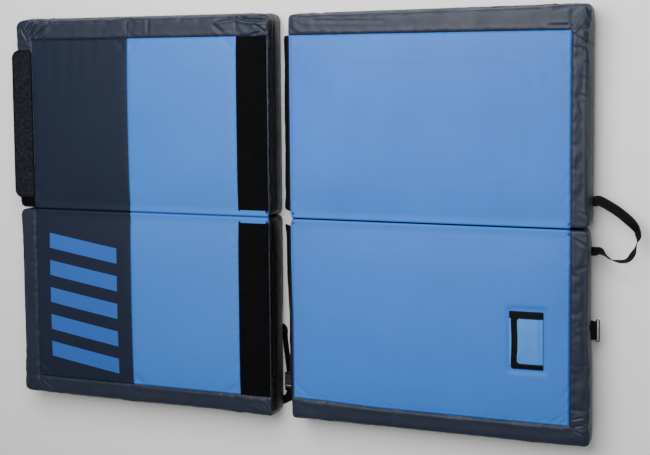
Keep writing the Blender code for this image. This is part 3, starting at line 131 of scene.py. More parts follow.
class Surface:
    """A Principled material with its tree, its shader and its object coordinates."""

    def __init__(self, name, roughness, metallic=0.0, sheen=0.0, specular=0.5):
        self.made = bpy.data.materials.new(name)
        self.made.use_nodes = True
        self.tree = self.made.node_tree
        self.shader = self.tree.nodes["Principled BSDF"]
        for key, value in (("Roughness", roughness), ("Metallic", metallic), ("Specular IOR Level", specular),
                           ("Sheen Weight", sheen), ("Sheen Roughness", 0.4)):
            self.put(key, value)
        self.place = self.node("ShaderNodeTexCoord").outputs["Object"]

    def link(self, socket, value):
        """Link a socket or set its value."""
        if isinstance(value, bpy.types.NodeSocket):
            self.tree.links.new(value, socket)
        else:
            socket.default_value = value

    def put(self, key, value):
        """Link or set a socket of the shader."""
        self.link(self.shader.inputs[key], value)

    def node(self, kind, settings=None, **inputs):
        """A shader node with its settings and its input values or links."""
        made = self.tree.nodes.new(kind)
        for key, value in (settings or {}).items():
            setattr(made, key, value)
        for key, value in inputs.items():
            self.link(made.inputs[key.replace("_", " ")], value)
        return made

    def grain(self, scale, detail=2.0, roughness=0.5, distortion=0.0):
        """Noise from 0 to 1, at a scale in features per metre."""
        return self.node("ShaderNodeTexNoise", Vector=self.place, Scale=scale, Detail=detail,
                         Roughness=roughness, Distortion=distortion).outputs["Fac"]

    def bands(self, axis, period, distortion=0.0):
        """Bands across an axis, with a period in metres."""
        return self.node("ShaderNodeTexWave", {"bands_direction": axis}, Vector=self.place,
                         Scale=math.pi / 10 / period, Distortion=distortion).outputs["Fac"]

    def sums(self, operation, first, *others):
        """A value taken with each of the others in turn by a math node."""
        for other in others:
            made = self.node("ShaderNodeMath", {"operation": operation})
            self.link(made.inputs[0], first)
            self.link(made.inputs[1], other)
            first = made.outputs[0]
        return first

    def weighed(self, a, b, share):
        """Two values, the second with this share."""
        return self.sums("ADD", self.sums("MULTIPLY", a, 1 - share), self.sums("MULTIPLY", b, share))

    def ramp(self, value, low, high, start=0.0, end=1.0):
        """A value mapped from start..end to low..high."""
        return self.node("ShaderNodeMapRange", Value=value, From_Min=start, From_Max=end, To_Min=low,
                         To_Max=high).outputs["Result"]

    def mixed(self, factor, a, b):
        """A colour between two others."""
        made = self.node("ShaderNodeMix", {"data_type": "RGBA"})
        for k, value in ((0, factor), (6, a), (7, b)):
            self.link(made.inputs[k], value)
        return made.outputs[2]

    def tinted(self, factor, colour, dark, light):
        """A colour that varies between two tones of itself."""
        return self.mixed(factor, shade(colour, dark), shade(colour, light))

    def weave(self, period):
        """A plain weave's height, the same on faces that look along any axis."""
        rows = [self.bands(axis, period) for axis in "XYZ"]
        return self.sums("ADD", *(self.sums("MULTIPLY", rows[k], rows[(k + 1) % 3]) for k in range(3)))

    def bumped(self, *heights):
        """The material with bumps, each a height value, a strength and a depth in metres."""
        normal = None
        for value, strength, depth in heights:
            made = self.node("ShaderNodeBump", Height=value, Strength=strength, Distance=depth)
            if normal:
                self.link(made.inputs["Normal"], normal)
            normal = made.outputs["Normal"]
        self.put("Normal", normal)
        return self.made


def coated_cloth(name, colour, specular):
    """Coated nylon: a dull shine, faint crumples and rubbed edges."""
    cloth = Surface(name, 0.5, specular=specular)
    tone = cloth.ramp(cloth.grain(7.0, 4.0, 0.6), 0.0, 1.0, 0.3, 0.7)
    worn = cloth.ramp(cloth.node("ShaderNodeNewGeometry").outputs["Pointiness"], 0.0, 0.35, 0.52, 0.6)
    cloth.put("Base Color", cloth.mixed(worn, cloth.tinted(tone, colour, 0.86, 1.16), shade(colour, 2.4)))
    cloth.put("Roughness", cloth.ramp(cloth.grain(22.0, 3.0), 0.42, 0.6))
    return cloth.bumped((cloth.grain(24.0, 5.0, 0.58, 0.5), 0.3, 0.003),
                        (cloth.grain(150.0, 3.0, 0.6), 0.2, 0.0006), (cloth.weave(0.0012), 0.4, 0.00006))


def field_cloth(name, colour, period, stripe=0.0, specular=0.5, mask=None, ink=None):
    """Ballistic nylon of the landing face: its weave, a soft ripple and uneven dye, with ink in the mask."""
    cloth = Surface(name, 0.62, specular=specular)
    tone = cloth.weighed(cloth.grain(4.0, 4.0), cloth.grain(500.0, 2.0, 0.7), 0.25)
    if stripe:
        ribs = cloth.sums("MULTIPLY", cloth.bands("DIAGONAL", 0.0062, 0.4), cloth.bands("X", 0.0049, 0.3))
        tone = cloth.weighed(tone, ribs, stripe)
    base = cloth.tinted(cloth.ramp(tone, 0.0, 1.0, 0.25, 0.75), colour, 0.9, 1.1)
    if mask:
        base = cloth.mixed(mask(cloth), base, shade(ink))
    cloth.put("Base Color", base)
    return cloth.bumped((cloth.grain(9.0, 3.0, 0.45, 0.2), 0.1, 0.004), (cloth.weave(period), 0.5, 0.00012))


def past_seam(corner, slope):
    """The mask of the cloth past a slanted seam on the join edge, for field_cloth."""
    def mask(cloth):
        x, y, _ = cloth.node("ShaderNodeSeparateXYZ", Vector=cloth.place).outputs
        return cloth.sums("LESS_THAN", cloth.sums("ADD", x, cloth.sums("MULTIPLY", y, slope)), corner)
    return mask


def slanted_bars(x0, x1, y0, y1, bars):
    """The mask of slanted bars inside a box in the part's frame, with worn specks, for field_cloth."""
    def mask(cloth):
        x, y, _ = cloth.node("ShaderNodeSeparateXYZ", Vector=cloth.place).outputs
        lean = cloth.sums("ADD", y, cloth.sums("MULTIPLY", cloth.sums("SUBTRACT", x, x0), 0.16))
        turn = cloth.sums("DIVIDE", cloth.sums("SUBTRACT", lean, y0), (y1 - y0) / (bars - 0.45))
        inside = cloth.sums("LESS_THAN", cloth.sums("FRACT", turn, 0.0), 0.55)
        for value, low, high in ((x, x0, x1), (lean, y0, y1)):
            inside = cloth.sums("MULTIPLY", inside, cloth.sums("GREATER_THAN", value, low),
                                cloth.sums("LESS_THAN", value, high))
        return cloth.sums("MULTIPLY", inside, cloth.ramp(cloth.grain(900.0), 0.55, 1.0, 0.28, 0.36))
    return mask


def pile_cloth(name, colour, scale=700.0, depth=0.001):
    """Brushed loop pile or hook tape: deep, matt and fuzzy."""
    pile = Surface(name, 0.95, specular=0.12)
    fuzz, broad = pile.grain(scale, 3.0, 0.75), pile.grain(16.0, 3.0, 0.6)
    factor = pile.ramp(pile.sums("MULTIPLY", fuzz, broad), 0.0, 1.0, 0.12, 0.4)
    pile.put("Base Color", pile.tinted(factor, colour, 0.6, 1.8))
    return pile.bumped((fuzz, 0.8, depth), (broad, 0.2, 0.002))


def carpet_cloth():
    """Heathered charcoal carpet with light and dark fibres."""
    carpet = Surface("carpet_pile", 0.98, sheen=0.1, specular=0.1)
    fibre, clump = carpet.grain(330.0, 4.0, 0.8), carpet.grain(75.0, 3.0, 0.7)
    factor = carpet.ramp(carpet.weighed(fibre, clump, 0.3), 0.0, 1.0, 0.44, 0.66)
    carpet.put("Base Color", carpet.mixed(factor, (0.0022, 0.0028, 0.005, 1), (0.027, 0.032, 0.047, 1)))
    return carpet.bumped((fibre, 1.0, 0.0016), (clump, 0.6, 0.0024))


def webbing_cloth(name, period):
    """Black woven webbing with a herringbone rib."""
    webbing = Surface(name, 0.7, specular=0.14)
    rib, slant = webbing.weave(period), webbing.bands("DIAGONAL", period * 1.7, 0.2)
    factor = webbing.weighed(slant, webbing.grain(60.0, 4.0, 0.6), 0.5)
    webbing.put("Base Color", webbing.tinted(factor, (0.0014, 0.0016, 0.0021), 0.7, 2.4))
    return webbing.bumped((rib, 0.6, 0.0003), (slant, 0.5, 0.0003))


def moulded_plastic(name, colour):
    """Moulded acetal with a fine spark texture and scuffs."""
    plastic = Surface(name, 0.42)
    scuff = plastic.ramp(plastic.grain(90.0, 5.0, 0.7), 0.0, 1.0, 0.5, 0.72)
    plastic.put("Base Color", plastic.tinted(scuff, colour, 1.0, 2.4))
    plastic.put("Roughness", plastic.ramp(scuff, 0.36, 0.6))
    return plastic.bumped((plastic.grain(1500.0, 2.0, 0.6), 0.35, 0.00008))


def coated_wire():
    """Dark plated wire with bright rubbed marks."""
    wire = Surface("plated_wire", 0.32, metallic=1.0)
    marks = wire.ramp(wire.grain(260.0, 4.0, 0.7, 0.5), 0.0, 1.0, 0.5, 0.75)
    wire.put("Base Color", wire.mixed(marks, (0.045, 0.05, 0.058, 1), (0.26, 0.27, 0.28, 1)))
    wire.put("Roughness", wire.ramp(marks, 0.26, 0.44))
    return wire.bumped((marks, 0.25, 0.0002))


def thread_surface():
    """Dark sewing thread."""
    thread = Surface("sewing_thread", 0.6, specular=0.3)
    twist = thread.grain(1800.0)
    thread.put("Base Color", thread.mixed(twist, (0.01, 0.013, 0.02, 1), (0.035, 0.042, 0.058, 1)))
    return thread.bumped((twist, 0.6, 0.0002))


CHARCOAL = (0.0085, 0.014, 0.032)
NAVY = (0.0065, 0.0125, 0.031)
SMOOTH_BLUE = (0.02, 0.157, 0.585)
BARS_BOX = (MIDDLE_X - 0.918, MIDDLE_X - 0.636, -0.548, -0.088)
SURFACES = {
    "coated": coated_cloth("coated_cloth", CHARCOAL, 0.45),
    # Near black coated cloth: the join flaps' own colour, and painted shade on the lower left join wall and in the
    # middle of the right fold's crease.
    "black_coated": coated_cloth("black_and_shade_coated_cloth", (0.0026, 0.0032, 0.0042), 0.25),
    # A charcoal tone for the upper left join wall: painted light, the same cloth as the lower join wall but lit
    # more, while the lower one is painted near black.
    "wall_coated": coated_cloth("painted_light_wall_cloth", (0.0068, 0.0102, 0.0145), 0.35),
    "strap_cloth": coated_cloth("strap_cloth", (0.004, 0.0048, 0.0065), 0.35),
    "ribbed_blue": field_cloth("ribbed_blue_cloth", (0.026, 0.174, 0.61), 0.0022, stripe=0.45),
    "smooth_blue": field_cloth("smooth_blue_cloth", SMOOTH_BLUE, 0.0016),
    "lip_upper": field_cloth("upper_lip_cloth", SMOOTH_BLUE, 0.0016, ink=CHARCOAL,
                             mask=past_seam(MIDDLE_X + 0.03, 0.0)),
    "lip_lower": field_cloth("lower_lip_cloth", SMOOTH_BLUE, 0.0016, ink=CHARCOAL,
                             mask=past_seam(MIDDLE_X + 0.0362, 0.023)),
    # A lighter copy of the smooth blue for the bound flap: painted light, the flap lit more than the face round it.
    "flap_blue": field_cloth("flap_lit_blue_cloth", (0.048, 0.225, 0.68), 0.0016),
    "navy": field_cloth("navy_field_cloth", NAVY, 0.0018, specular=0.25),
    "printed": field_cloth("printed_navy_cloth", NAVY, 0.0018, specular=0.25, ink=(0.024, 0.11, 0.43),
                           mask=slanted_bars(*BARS_BOX, 5)),
    "pile": pile_cloth("loop_pile", (0.0011, 0.0012, 0.0016)),
    "hook": pile_cloth("hook_tape", (0.0035, 0.004, 0.006), 1100.0, 0.0005),
    "carpet": carpet_cloth(),
    "webbing": webbing_cloth("black_webbing_weave", 0.0024),
    "binding": webbing_cloth("binding_tape", 0.0016),
    "plastic": moulded_plastic("black_acetal", (0.0045, 0.005, 0.006)),
    "grey_plastic": moulded_plastic("grey_acetal", (0.03, 0.034, 0.04)),
    "steel": coated_wire(),
    "thread": thread_surface(),
}


# Mesh helpers
def in_scene(name, data):
    """A new object in the scene."""
    made = bpy.data.objects.new(name, data)
    bpy.context.scene.collection.objects.link(made)
    return made


def new_piece(name, mesh, surface, body=None, smooth=True):
    """A piece from a bmesh or a mesh, with its surface and its body."""
    data = mesh
    if isinstance(mesh, bmesh.types.BMesh):
        data = bpy.data.meshes.new(name)
        mesh.to_mesh(data)
        mesh.free()
    data.name = name
    piece = in_scene(name, data)
    data.materials.clear()
    data.materials.append(SURFACES[surface])
    if smooth:
        data.shade_smooth()
    if body:
        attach(piece, body)
    return piece


def second_surface(piece, surface, chosen):
    """Give a second surface to the faces that are chosen."""
    piece.data.materials.append(SURFACES[surface])
    for face in piece.data.polygons:
        face.material_index = int(chosen(face))


def round_edges(piece, width, segments=2, angle=35.0):
    """Round a piece's sharp edges."""
    bevel = piece.modifiers.new("round", "BEVEL")
    bevel.width = width
    bevel.segments = segments
    bevel.limit_method = "ANGLE"
    bevel.angle_limit = math.radians(angle)
    graph = bpy.context.evaluated_depsgraph_get()
    made = bpy.data.meshes.new_from_object(piece.evaluated_get(graph), depsgraph=graph)
    old = piece.data
    piece.modifiers.clear()
    piece.data = made
    bpy.data.meshes.remove(old)
    made.name = piece.name
    made.shade_smooth()
    made.set_sharp_from_angle(angle=math.radians(50))


def merged(meshes):
    """One bmesh from several."""
    whole = bmesh.new()
    for mesh in meshes:
        data = bpy.data.meshes.new("part")
        mesh.to_mesh(data)
        mesh.free()
        whole.from_mesh(data)
        bpy.data.meshes.remove(data)
    return whole


def even_lines(stops, step):
    """Lines through all the stops, about a step apart."""
    made = []
    for a, b in zip(stops, stops[1:]):
        count = max(1, round((b - a) / step))
        made += [a + (b - a) * k / count for k in range(count)]
    return made + [stops[-1]]


def clamp(value, low=0.0, high=1.0):
    """A value held between two limits."""
    return min(max(value, low), high)


def smoothstep(low, high, value):
    """0 at low, 1 at high, and a soft change between."""
    t = clamp((value - low) / (high - low))
    return t * t * (3 - 2 * t)


def bell(distance, width):
    """1 at no distance, and almost nothing two widths away."""
    return math.exp(-(distance / width) ** 2)


def ripple(x, y, z):
    """Smooth noise about 0."""
    return noise.noise(Vector((x, y, z)))


def table_value(pairs, at):
    """A value read between pairs of place and value."""
    for (a, low), (b, high) in zip(pairs, pairs[1:]):
        if at <= b:
            return low + (high - low) * smoothstep(a, b, at)
    return pairs[-1][1]


def catmull(route, share):
    """A point of the smooth curve through the route."""
    spans = len(route) - 1
    k = min(int(share * spans), spans - 1)
    t = share * spans - k
    a, b = route[max(k - 1, 0)], route[k]
    c, d = route[k + 1], route[min(k + 2, spans)]
    return (b * 2 + (c - a) * t + (a * 2 - b * 5 + c * 4 - d) * t * t
            + (b * 3 - a - c * 3 + d) * t * t * t) / 2


def curved(route, steps):
    """Points along the smooth curve through the route."""
    return [catmull(route, k / steps) for k in range(steps + 1)]


def add_tube(mesh, rows, closed=False, capped=True):
    """Faces between rows of points round a section."""
    made = [[mesh.verts.new(point) for point in row] for row in rows]
    for a, b in list(zip(made, made[1:])) + ([(made[-1], made[0])] if closed else []):
        for k in range(len(a)):
            after = (k + 1) % len(a)
            mesh.faces.new((a[k], a[after], b[after], b[k]))
    if capped and not closed:
        mesh.faces.new(list(reversed(made[0])))
        mesh.faces.new(made[-1])
    return made


def swept(rows, closed=False):
    """A closed mesh from rows of points round a section."""
    mesh = bmesh.new()
    add_tube(mesh, rows, closed)
    bmesh.ops.recalc_face_normals(mesh, faces=mesh.faces)
    return mesh


def arc(centre, radius, first, turn, count):
    """Points of an arc, from an angle on and through a turn."""
    angles = [first + turn * k / count for k in range(count + 1)]
    return [(centre[0] + radius * math.cos(a), centre[1] + radius * math.sin(a)) for a in angles]


def heading(points, k):
    """From the point before to the point after."""
    return points[min(k + 1, len(points) - 1)] - points[max(k - 1, 0)]


SELVEDGE = ((-1, 0), (-0.985, -0.7), (-0.93, -1), (-0.3, -0.9), (0.3, -0.9), (0.93, -1), (0.985, -0.7),
            (1, 0), (0.985, 0.7), (0.93, 1), (0.3, 0.9), (-0.3, 0.9), (-0.93, 1), (-0.985, 0.7))


def ribbon(name, points, flats, width, thickness, body, stitched=()):
    """Webbing along points, with the directions of its width, and stitch lines along it."""
    rows, tops = [], [[] for _ in stitched]
    for k, point in enumerate(points):
        along = heading(points, k).normalized()
        across = (flats[k] - along * flats[k].dot(along)).normalized()
        up = along.cross(across)
        rows.append([point + across * width / 2 * u + up * thickness / 2 * v for u, v in SELVEDGE])
        for line, offset in zip(tops, stitched):
            line.append((point + across * offset + up * (thickness / 2 + 0.0001), up))
    for line in tops:
        stitch_line(body, [point for point, _ in line], [up for _, up in line])
    return new_piece(name, swept(rows), "webbing", body)


def level_flats(points):
    """The level direction across a line in plan, at each of its points."""
    flats = []
    for k in range(len(points)):
        along = heading(points, k)
        flats.append(Vector((-along.y, along.x, 0)))
    known = next(flat for flat in flats if flat.length > 1e-4)
    return [(flat if flat.length > 1e-4 else known).normalized() for flat in flats]


def rounded_point(x, y, box, radius):
    """Move a point of a corner's square onto the matching place of its quarter disc."""
    x0, x1, y0, y1 = box
    cx, cy = clamp(x, x0 + radius, x1 - radius), clamp(y, y0 + radius, y1 - radius)
    if cx == x or cy == y:
        return x, y
    u, v = (x - cx) / radius, (y - cy) / radius
    return cx + radius * u * math.sqrt(1 - v * v / 2), cy + radius * v * math.sqrt(1 - u * u / 2)


def edge_loop(nx, ny):
    """A grid's outline, once round."""
    return ([(i, 0) for i in range(nx)] + [(nx, j) for j in range(ny)]
            + [(i, ny) for i in range(nx, 0, -1)] + [(0, j) for j in range(ny, 0, -1)])


def slab(xs, ys, low, high, place, box=None, radius=0.0):
    """A closed slab over a grid, between two heights."""
    mesh = bmesh.new()
    nx, ny = len(xs) - 1, len(ys) - 1
    layers = []
    for height in (low, high):
        layer = {}
        for i, x in enumerate(xs):
            for j, y in enumerate(ys):
                px, py = rounded_point(x, y, box, radius) if box else (x, y)
                layer[i, j] = mesh.verts.new(place(px, py, height(px, py)))
        layers.append(layer)
    for i in range(nx):
        for j in range(ny):
            corners = ((i, j), (i + 1, j), (i + 1, j + 1), (i, j + 1))
            mesh.faces.new([layers[0][c] for c in reversed(corners)])
            mesh.faces.new([layers[1][c] for c in corners])
    outline = edge_loop(nx, ny)
    for a, b in zip(outline, outline[1:] + outline[:1]):
        mesh.faces.new((layers[0][a], layers[0][b], layers[1][b], layers[1][a]))
    bmesh.ops.recalc_face_normals(mesh, faces=mesh.faces)
    return mesh


# Stitches are gathered for each body and made as one piece
STITCHES = {}


def stitch_line(body, points, ups, pitch=0.0042, length=0.0028, width=0.0007):
    """Stitches along a line, each a low lozenge that bites into the cloth."""
    gathered = STITCHES.setdefault(body, [])
    ups = ups if isinstance(ups, list) else [ups] * len(points)
    travelled, due = 0.0, pitch / 2
    for k in range(len(points) - 1):
        step = points[k + 1] - points[k]
        span = step.length
        while span and due <= travelled + span:
            share = (due - travelled) / span
            gathered.append((points[k].lerp(points[k + 1], share), step / span,
                             ups[k].lerp(ups[k + 1], share), length, width))
            due += pitch
        travelled += span


def make_stitches():
    """One piece of stitches for each body."""
    for body, gathered in STITCHES.items():
        points, faces = [], []
        for centre, along, up, length, width in gathered:
            up = (up - along * up.dot(along)).normalized()
            side = along.cross(up) * width / 2
            first = len(points)
            for reach, rise in ((-0.5, -0.0003), (-0.3, 0.00035), (0.3, 0.00035), (0.5, -0.0003)):
                middle = centre + along * length * reach
                points += [middle - side + up * rise, middle + side + up * rise]
            points += [centre - up * 0.0005 - side, centre - up * 0.0005 + side]
            for a, b, c, d in ((0, 1, 3, 2), (2, 3, 5, 4), (4, 5, 7, 6), (0, 8, 9, 1), (6, 7, 9, 8)):
                faces.append([first + a, first + b, first + c, first + d])
            faces += [[first, first + 2, first + 4, first + 6, first + 8],
                      [first + 9, first + 7, first + 5, first + 3, first + 1]]
        data = bpy.data.meshes.new("stitches_" + body)
        data.from_pydata([tuple(point) for point in points], [], faces)
        new_piece("stitches_" + body, data, "thread", body, smooth=False)


# The panels' skins
class Panel:
    """One of the four panels, in a frame of its own: x from the outer side, y from the fold."""

    def __init__(self, unit, end):
        self.unit, self.end, self.left, self.upper = unit, end, unit == LEFT, end == UPPER
        self.name = ("left" if self.left else "right") + ("_upper" if self.upper else "_lower")
        self.skin = None

    def grown(self, x, y):
        """How much further the filled cloth reaches than the plain panel, as the photograph shows."""
        if not self.upper:
            outer = 1 - 0.6 * bell(x, 0.12) * smoothstep(MOUTH[3] - 0.03, PANEL_LENGTH, y)
            long = FACE_STRETCH * outer * clamp((y - MOUTH[2]) / (MOUTH[3] - MOUTH[2]))
            join = smoothstep(0.65, 1.0, x / UNIT_WIDTH) if not self.left else 0.0
            return long * (1 - 0.9 * join) + LOWER_JOIN_STRETCH * join * smoothstep(MOUTH[3], PANEL_LENGTH, y)
        reach = LEFT_END_STRETCH if self.left else RIGHT_END_STRETCH - RIGHT_END_SLANT * x / UNIT_WIDTH
        return reach * smoothstep(MOUTH[3], PANEL_LENGTH, y)

    def span(self, node):
        """Where a node starts and ends across the panel, and its box."""
        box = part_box(node)
        return (*sorted(self.inward(corner)[0] for corner in box), *box)

    def place(self, x, y, z):
        """From the panel's frame to the part's."""
        return Vector((MIDDLE_X + self.unit * (OUTER_EDGE - x), self.end * (y + self.grown(x, y)), z))

    def inward(self, point):
        """From the part's frame to the panel's."""
        x, y = OUTER_EDGE - (point[0] - MIDDLE_X) * self.unit, point[1] * self.end
        found = y
        for _ in range(4):
            found = y - self.grown(x, found)
        return x, found

    def crown(self, x, y):
        """How far the face stands above its seam."""
        u = (x - MOUTH[0]) / (MOUTH[1] - MOUTH[0])
        v = (y - MOUTH[2]) / (MOUTH[3] - MOUTH[2])
        if not 0 <= u <= 1 or not 0 <= v <= 1:
            return 0.0
        return CROWN * (1 - (2 * u - 1) ** 4) * (1 - (2 * v - 1) ** 4)

    def hollow(self, x, y):
        """Depth of the hollow for the harness in the lower left panel's back."""
        if not self.left or self.upper:
            return 0.0
        bed = (smoothstep(0.07, 0.26, x) * (1 - smoothstep(0.89, 0.985, x))
               * smoothstep(0.02, 0.12, y) * (1 - smoothstep(0.622, 0.662, y)))
        channel = smoothstep(0.75, 0.885, x) * smoothstep(0.25, 0.385, y)
        return HOLLOW_DEPTH * max(bed, channel)

    def region(self, x, y):
        """Which cloth covers a place of the top."""
        if x < MOUTH[0] or x > MOUTH[1] or y < MOUTH[2] or y > MOUTH[3]:
            return "cover"
        if not self.left:
            return "face"
        return "navy_face" if x < NAVY_END else "blue_face" if x < BAND_START else "loop_band"

    def lines(self):
        """Grid lines of the top, denser at the seams."""
        low_x, high_x = EDGE_RADIUS, UNIT_WIDTH - JOIN_SHARE * EDGE_RADIUS
        s, dense = SEAM_STEP, 0.125
        stops = [dense]
        if self.left:
            stops += [NAVY_END - s, NAVY_END, NAVY_END + s, BAND_START - s, BAND_START, BAND_START + s]
        else:
            stops += [UNIT_WIDTH - dense]
        xs = even_lines([low_x, MOUTH[0] - s, MOUTH[0], MOUTH[0] + s, dense], STEP / 2)[:-1]
        xs += even_lines(stops, STEP)[:-1] + even_lines([stops[-1], MOUTH[1] - s, MOUTH[1], high_x], STEP * 0.6)
        low_y, high_y = FOLD_GAP + EDGE_RADIUS, PANEL_LENGTH - EDGE_RADIUS
        ys = even_lines([low_y, MOUTH[2] - s, MOUTH[2], MOUTH[2] + s, PANEL_LENGTH - dense], STEP)[:-1]
        return xs, ys + even_lines([PANEL_LENGTH - dense, MOUTH[3] - s, MOUTH[3], MOUTH[3] + s, high_y], STEP / 2)

    def top(self, x, y):
        """Height of the finished skin's top."""
        hit = self.skin.ray_cast(self.place(x, y, 0.3), DOWN)[0]
        return hit.z if hit else THICKNESS

    def top_normal(self, x, y):
        """Which way the finished skin's top looks."""
        return self.skin.ray_cast(self.place(x, y, 0.3), DOWN)[1] or UP

    def end_wall(self, x, z):
        """How far out the finished end wall stands, in the panel's frame."""
        hit = self.skin.ray_cast(self.place(x, 0.9, z), Vector((0, -self.end, 0)))[0]
        return self.inward(hit)[1] if hit else PANEL_LENGTH


# Plan radii of the corners, by panel: at the outer and the join side of the far end
CORNERS = {"left_upper": (0.027, 0.02), "left_lower": (0.022, 0.017), "right_upper": (0.015, 0.015),
           "right_lower": (0.0105, 0.014)}
FOLD_CORNER = 0.02


def corner_radius(panel, x, y):
    """The radius of the flat top's corner that is nearest to a place."""
    if y < PANEL_LENGTH / 2:
        return FOLD_CORNER - EDGE_RADIUS
    return CORNERS[panel.name][0 if x < UNIT_WIDTH / 2 else 1] - EDGE_RADIUS


def tucked(panel, x, y, z):
    """Draw in the right unit's outer wall, whose cover is cut tighter there."""
    if panel.left or x > BORDER:
        return x
    h = z / THICKNESS
    if panel.upper:
        ends = smoothstep(0.0, 0.08, y) * (1 - smoothstep(PANEL_LENGTH - 0.12, PANEL_LENGTH - 0.01, y))
        inset = 0.007 + 0.006 * (1 - h) + 0.011 * ends * smoothstep(0.55, 0.98, h)
    else:
        inset = 0.003 + 0.011 * (1 - h) + 0.0075 * (1 - smoothstep(0.3, 0.46, y)) * (1 - 0.35 * h)
    return x + inset * (1 - x / BORDER)


def skin_rings():
    """The wall's rings from the top outline down: inset, share of the height, drop, bulge."""
    rings = []
    turns = (22.5, 45, 67.5, 90)
    for turn in turns:
        a = math.radians(turn)
        rings.append((EDGE_RADIUS * (1 - math.sin(a)), 1.0, -EDGE_RADIUS * (1 - math.cos(a)), 0.0))
    count = 9
    for k in range(1, count):
        share = 1 - k / count
        rings.append((0.0, share, 0.0, 4 * share * (1 - share)))
    for turn in reversed(turns):
        a = math.radians(turn)
        rings.append((EDGE_RADIUS * (1 - math.sin(a)), 0.0, EDGE_RADIUS * (1 - math.cos(a)), 0.0))
    return rings


def base_skin(panel):
    """The panel's closed skin: points in the panel's frame, faces, and each face's cloth."""
    xs, ys = panel.lines()
    nx, ny = len(xs) - 1, len(ys) - 1
    box = (xs[0], xs[-1], ys[0], ys[-1])
    plan = [[rounded_point(x, y, box, corner_radius(panel, x, y)) for y in ys] for x in xs]
    points, faces, cloths = [], [], []
    top = [[len(points) + i * (ny + 1) + j for j in range(ny + 1)] for i in range(nx + 1)]
    points += [(x, y, THICKNESS + panel.crown(x, y)) for row in plan for x, y in row]
    bottom = [[len(points) + i * (ny + 1) + j for j in range(ny + 1)] for i in range(nx + 1)]
    points += [(x, y, panel.hollow(x, y)) for row in plan for x, y in row]
    for i in range(nx):
        for j in range(ny):
            cell = ((i, j), (i + 1, j), (i + 1, j + 1), (i, j + 1))
            faces.append([top[a][b] for a, b in cell])
            cloths.append(panel.region((xs[i] + xs[i + 1]) / 2, (ys[j] + ys[j + 1]) / 2))
            faces.append([bottom[a][b] for a, b in reversed(cell)])
            cloths.append("cover")
    outline = edge_loop(nx, ny)
    loops = [[top[i][j] for i, j in outline]]
    for inset, share, drop, bulge in skin_rings():
        loop = []
        for i, j in outline:
            x, y = plan[i][j]
            radius = corner_radius(panel, x, y)
            cx, cy = clamp(x, box[0] + radius, box[1] - radius), clamp(y, box[2] + radius, box[3] - radius)
            away = Vector((x - cx, y - cy)).normalized()
            grow = EDGE_RADIUS - inset
            swell = WALL_BULGE * bulge
            px = cx + away.x * (radius + grow * (JOIN_SHARE if away.x > 0 else 1) + swell)
            py = cy + away.y * (radius + grow + (swell if away.y > 0 else 0))
            low = panel.hollow(px, py)
            if drop:
                z = (THICKNESS if share else low) + drop
            else:
                z = low + EDGE_RADIUS + (THICKNESS - 2 * EDGE_RADIUS - low) * share
            loop.append(len(points))
            points.append((px, py, z))
        loops.append(loop)
    loops.append([bottom[i][j] for i, j in outline])
    for a, b in zip(loops, loops[1:]):
        for k in range(len(a)):
            after = (k + 1) % len(a)
            faces.append([a[k], b[k], b[after], a[after]])
            cloths.append("cover")
    return [(tucked(panel, *point), point[1], point[2]) for point in points], faces, cloths


def held(panel, x, y, z):
    """How firmly seams, the zip and the back hold a point of the skin, from 0 to 1."""
    if z < 0.02 or y < FOLD_GAP + 0.001:
        return 1.0
    if z > THICKNESS - 0.002:
        seams = [abs(x - MOUTH[0]), abs(x - MOUTH[1]), abs(y - MOUTH[2]), abs(y - MOUTH[3])]
        if panel.left:
            seams += [abs(x - NAVY_END), abs(x - BAND_START)]
        return 1.0 if min(seams) < 0.5 * SEAM_STEP or y < MOUTH[2] else 0.0
    if y > PANEL_LENGTH - 0.002 and abs(z - ZIP_HEIGHT) < ZIP_WIDTH / 2 + 0.004:
        return 1.0
    return 0.0


def skin_object(panel, label, points, faces, indices=()):
    """A skin in the scene, its faces looking outward and numbered by their cloth."""
    data = bpy.data.meshes.new(panel.name + label)
    data.from_pydata([panel.place(*p) for p in points], [], faces)
    work = bmesh.new()
    work.from_mesh(data)
    for face, index in zip(work.faces, indices):
        face.material_index = index
    bmesh.ops.recalc_face_normals(work, faces=work.faces)
    work.to_mesh(data)
    work.free()
    return in_scene(data.name, data)


def swollen(panel, points, faces):
    """Let the cloth settle under a little pressure between its seams, within the caps."""
    body = skin_object(panel, "_sim", points, faces)
    group = body.vertex_groups.new(name="held")
    for k, point in enumerate(points):
        group.add([k], held(panel, *point), "REPLACE")
    cloth = body.modifiers.new("cloth", "CLOTH")
    settings = cloth.settings
    for key, value in (("quality", 4), ("mass", 0.25), ("tension_stiffness", 25), ("compression_stiffness", 12),
                       ("bending_stiffness", 0.4), ("vertex_group_mass", "held"), ("use_pressure", True),
                       ("uniform_pressure_force", 4), ("shrink_min", -0.012)):
        setattr(settings, key, value)
    settings.effector_weights.gravity = 0
    cloth.point_cache.frame_end = SIM_FRAMES
    for frame_number in range(1, SIM_FRAMES + 1):
        bpy.context.scene.frame_set(frame_number)
    after = body.evaluated_get(bpy.context.evaluated_depsgraph_get()).data
    moved = np.empty(len(points) * 3)
    after.vertices.foreach_get("co", moved)
    bpy.context.scene.frame_set(1)
    bpy.data.objects.remove(body)
    settled = []
    for k, (x, y, z) in enumerate(points):
        start = panel.place(x, y, z)
        shift = Vector(moved[3 * k:3 * k + 3]) - start
        cap = TOP_SWELL * smoothstep(0.0, 0.16, y) if z > THICKNESS - 0.002 else WALL_SWELL
        if not panel.left and x > UNIT_WIDTH - 0.012:
            cap = 0.0004
        cap *= 1 - held(panel, x, y, z)
        if shift.length > cap:
            shift *= cap / shift.length if cap else 0.0
        px, py = panel.inward(start + shift)
        settled.append((px, max(py, FOLD_GAP), start.z + shift.z))
    return settled


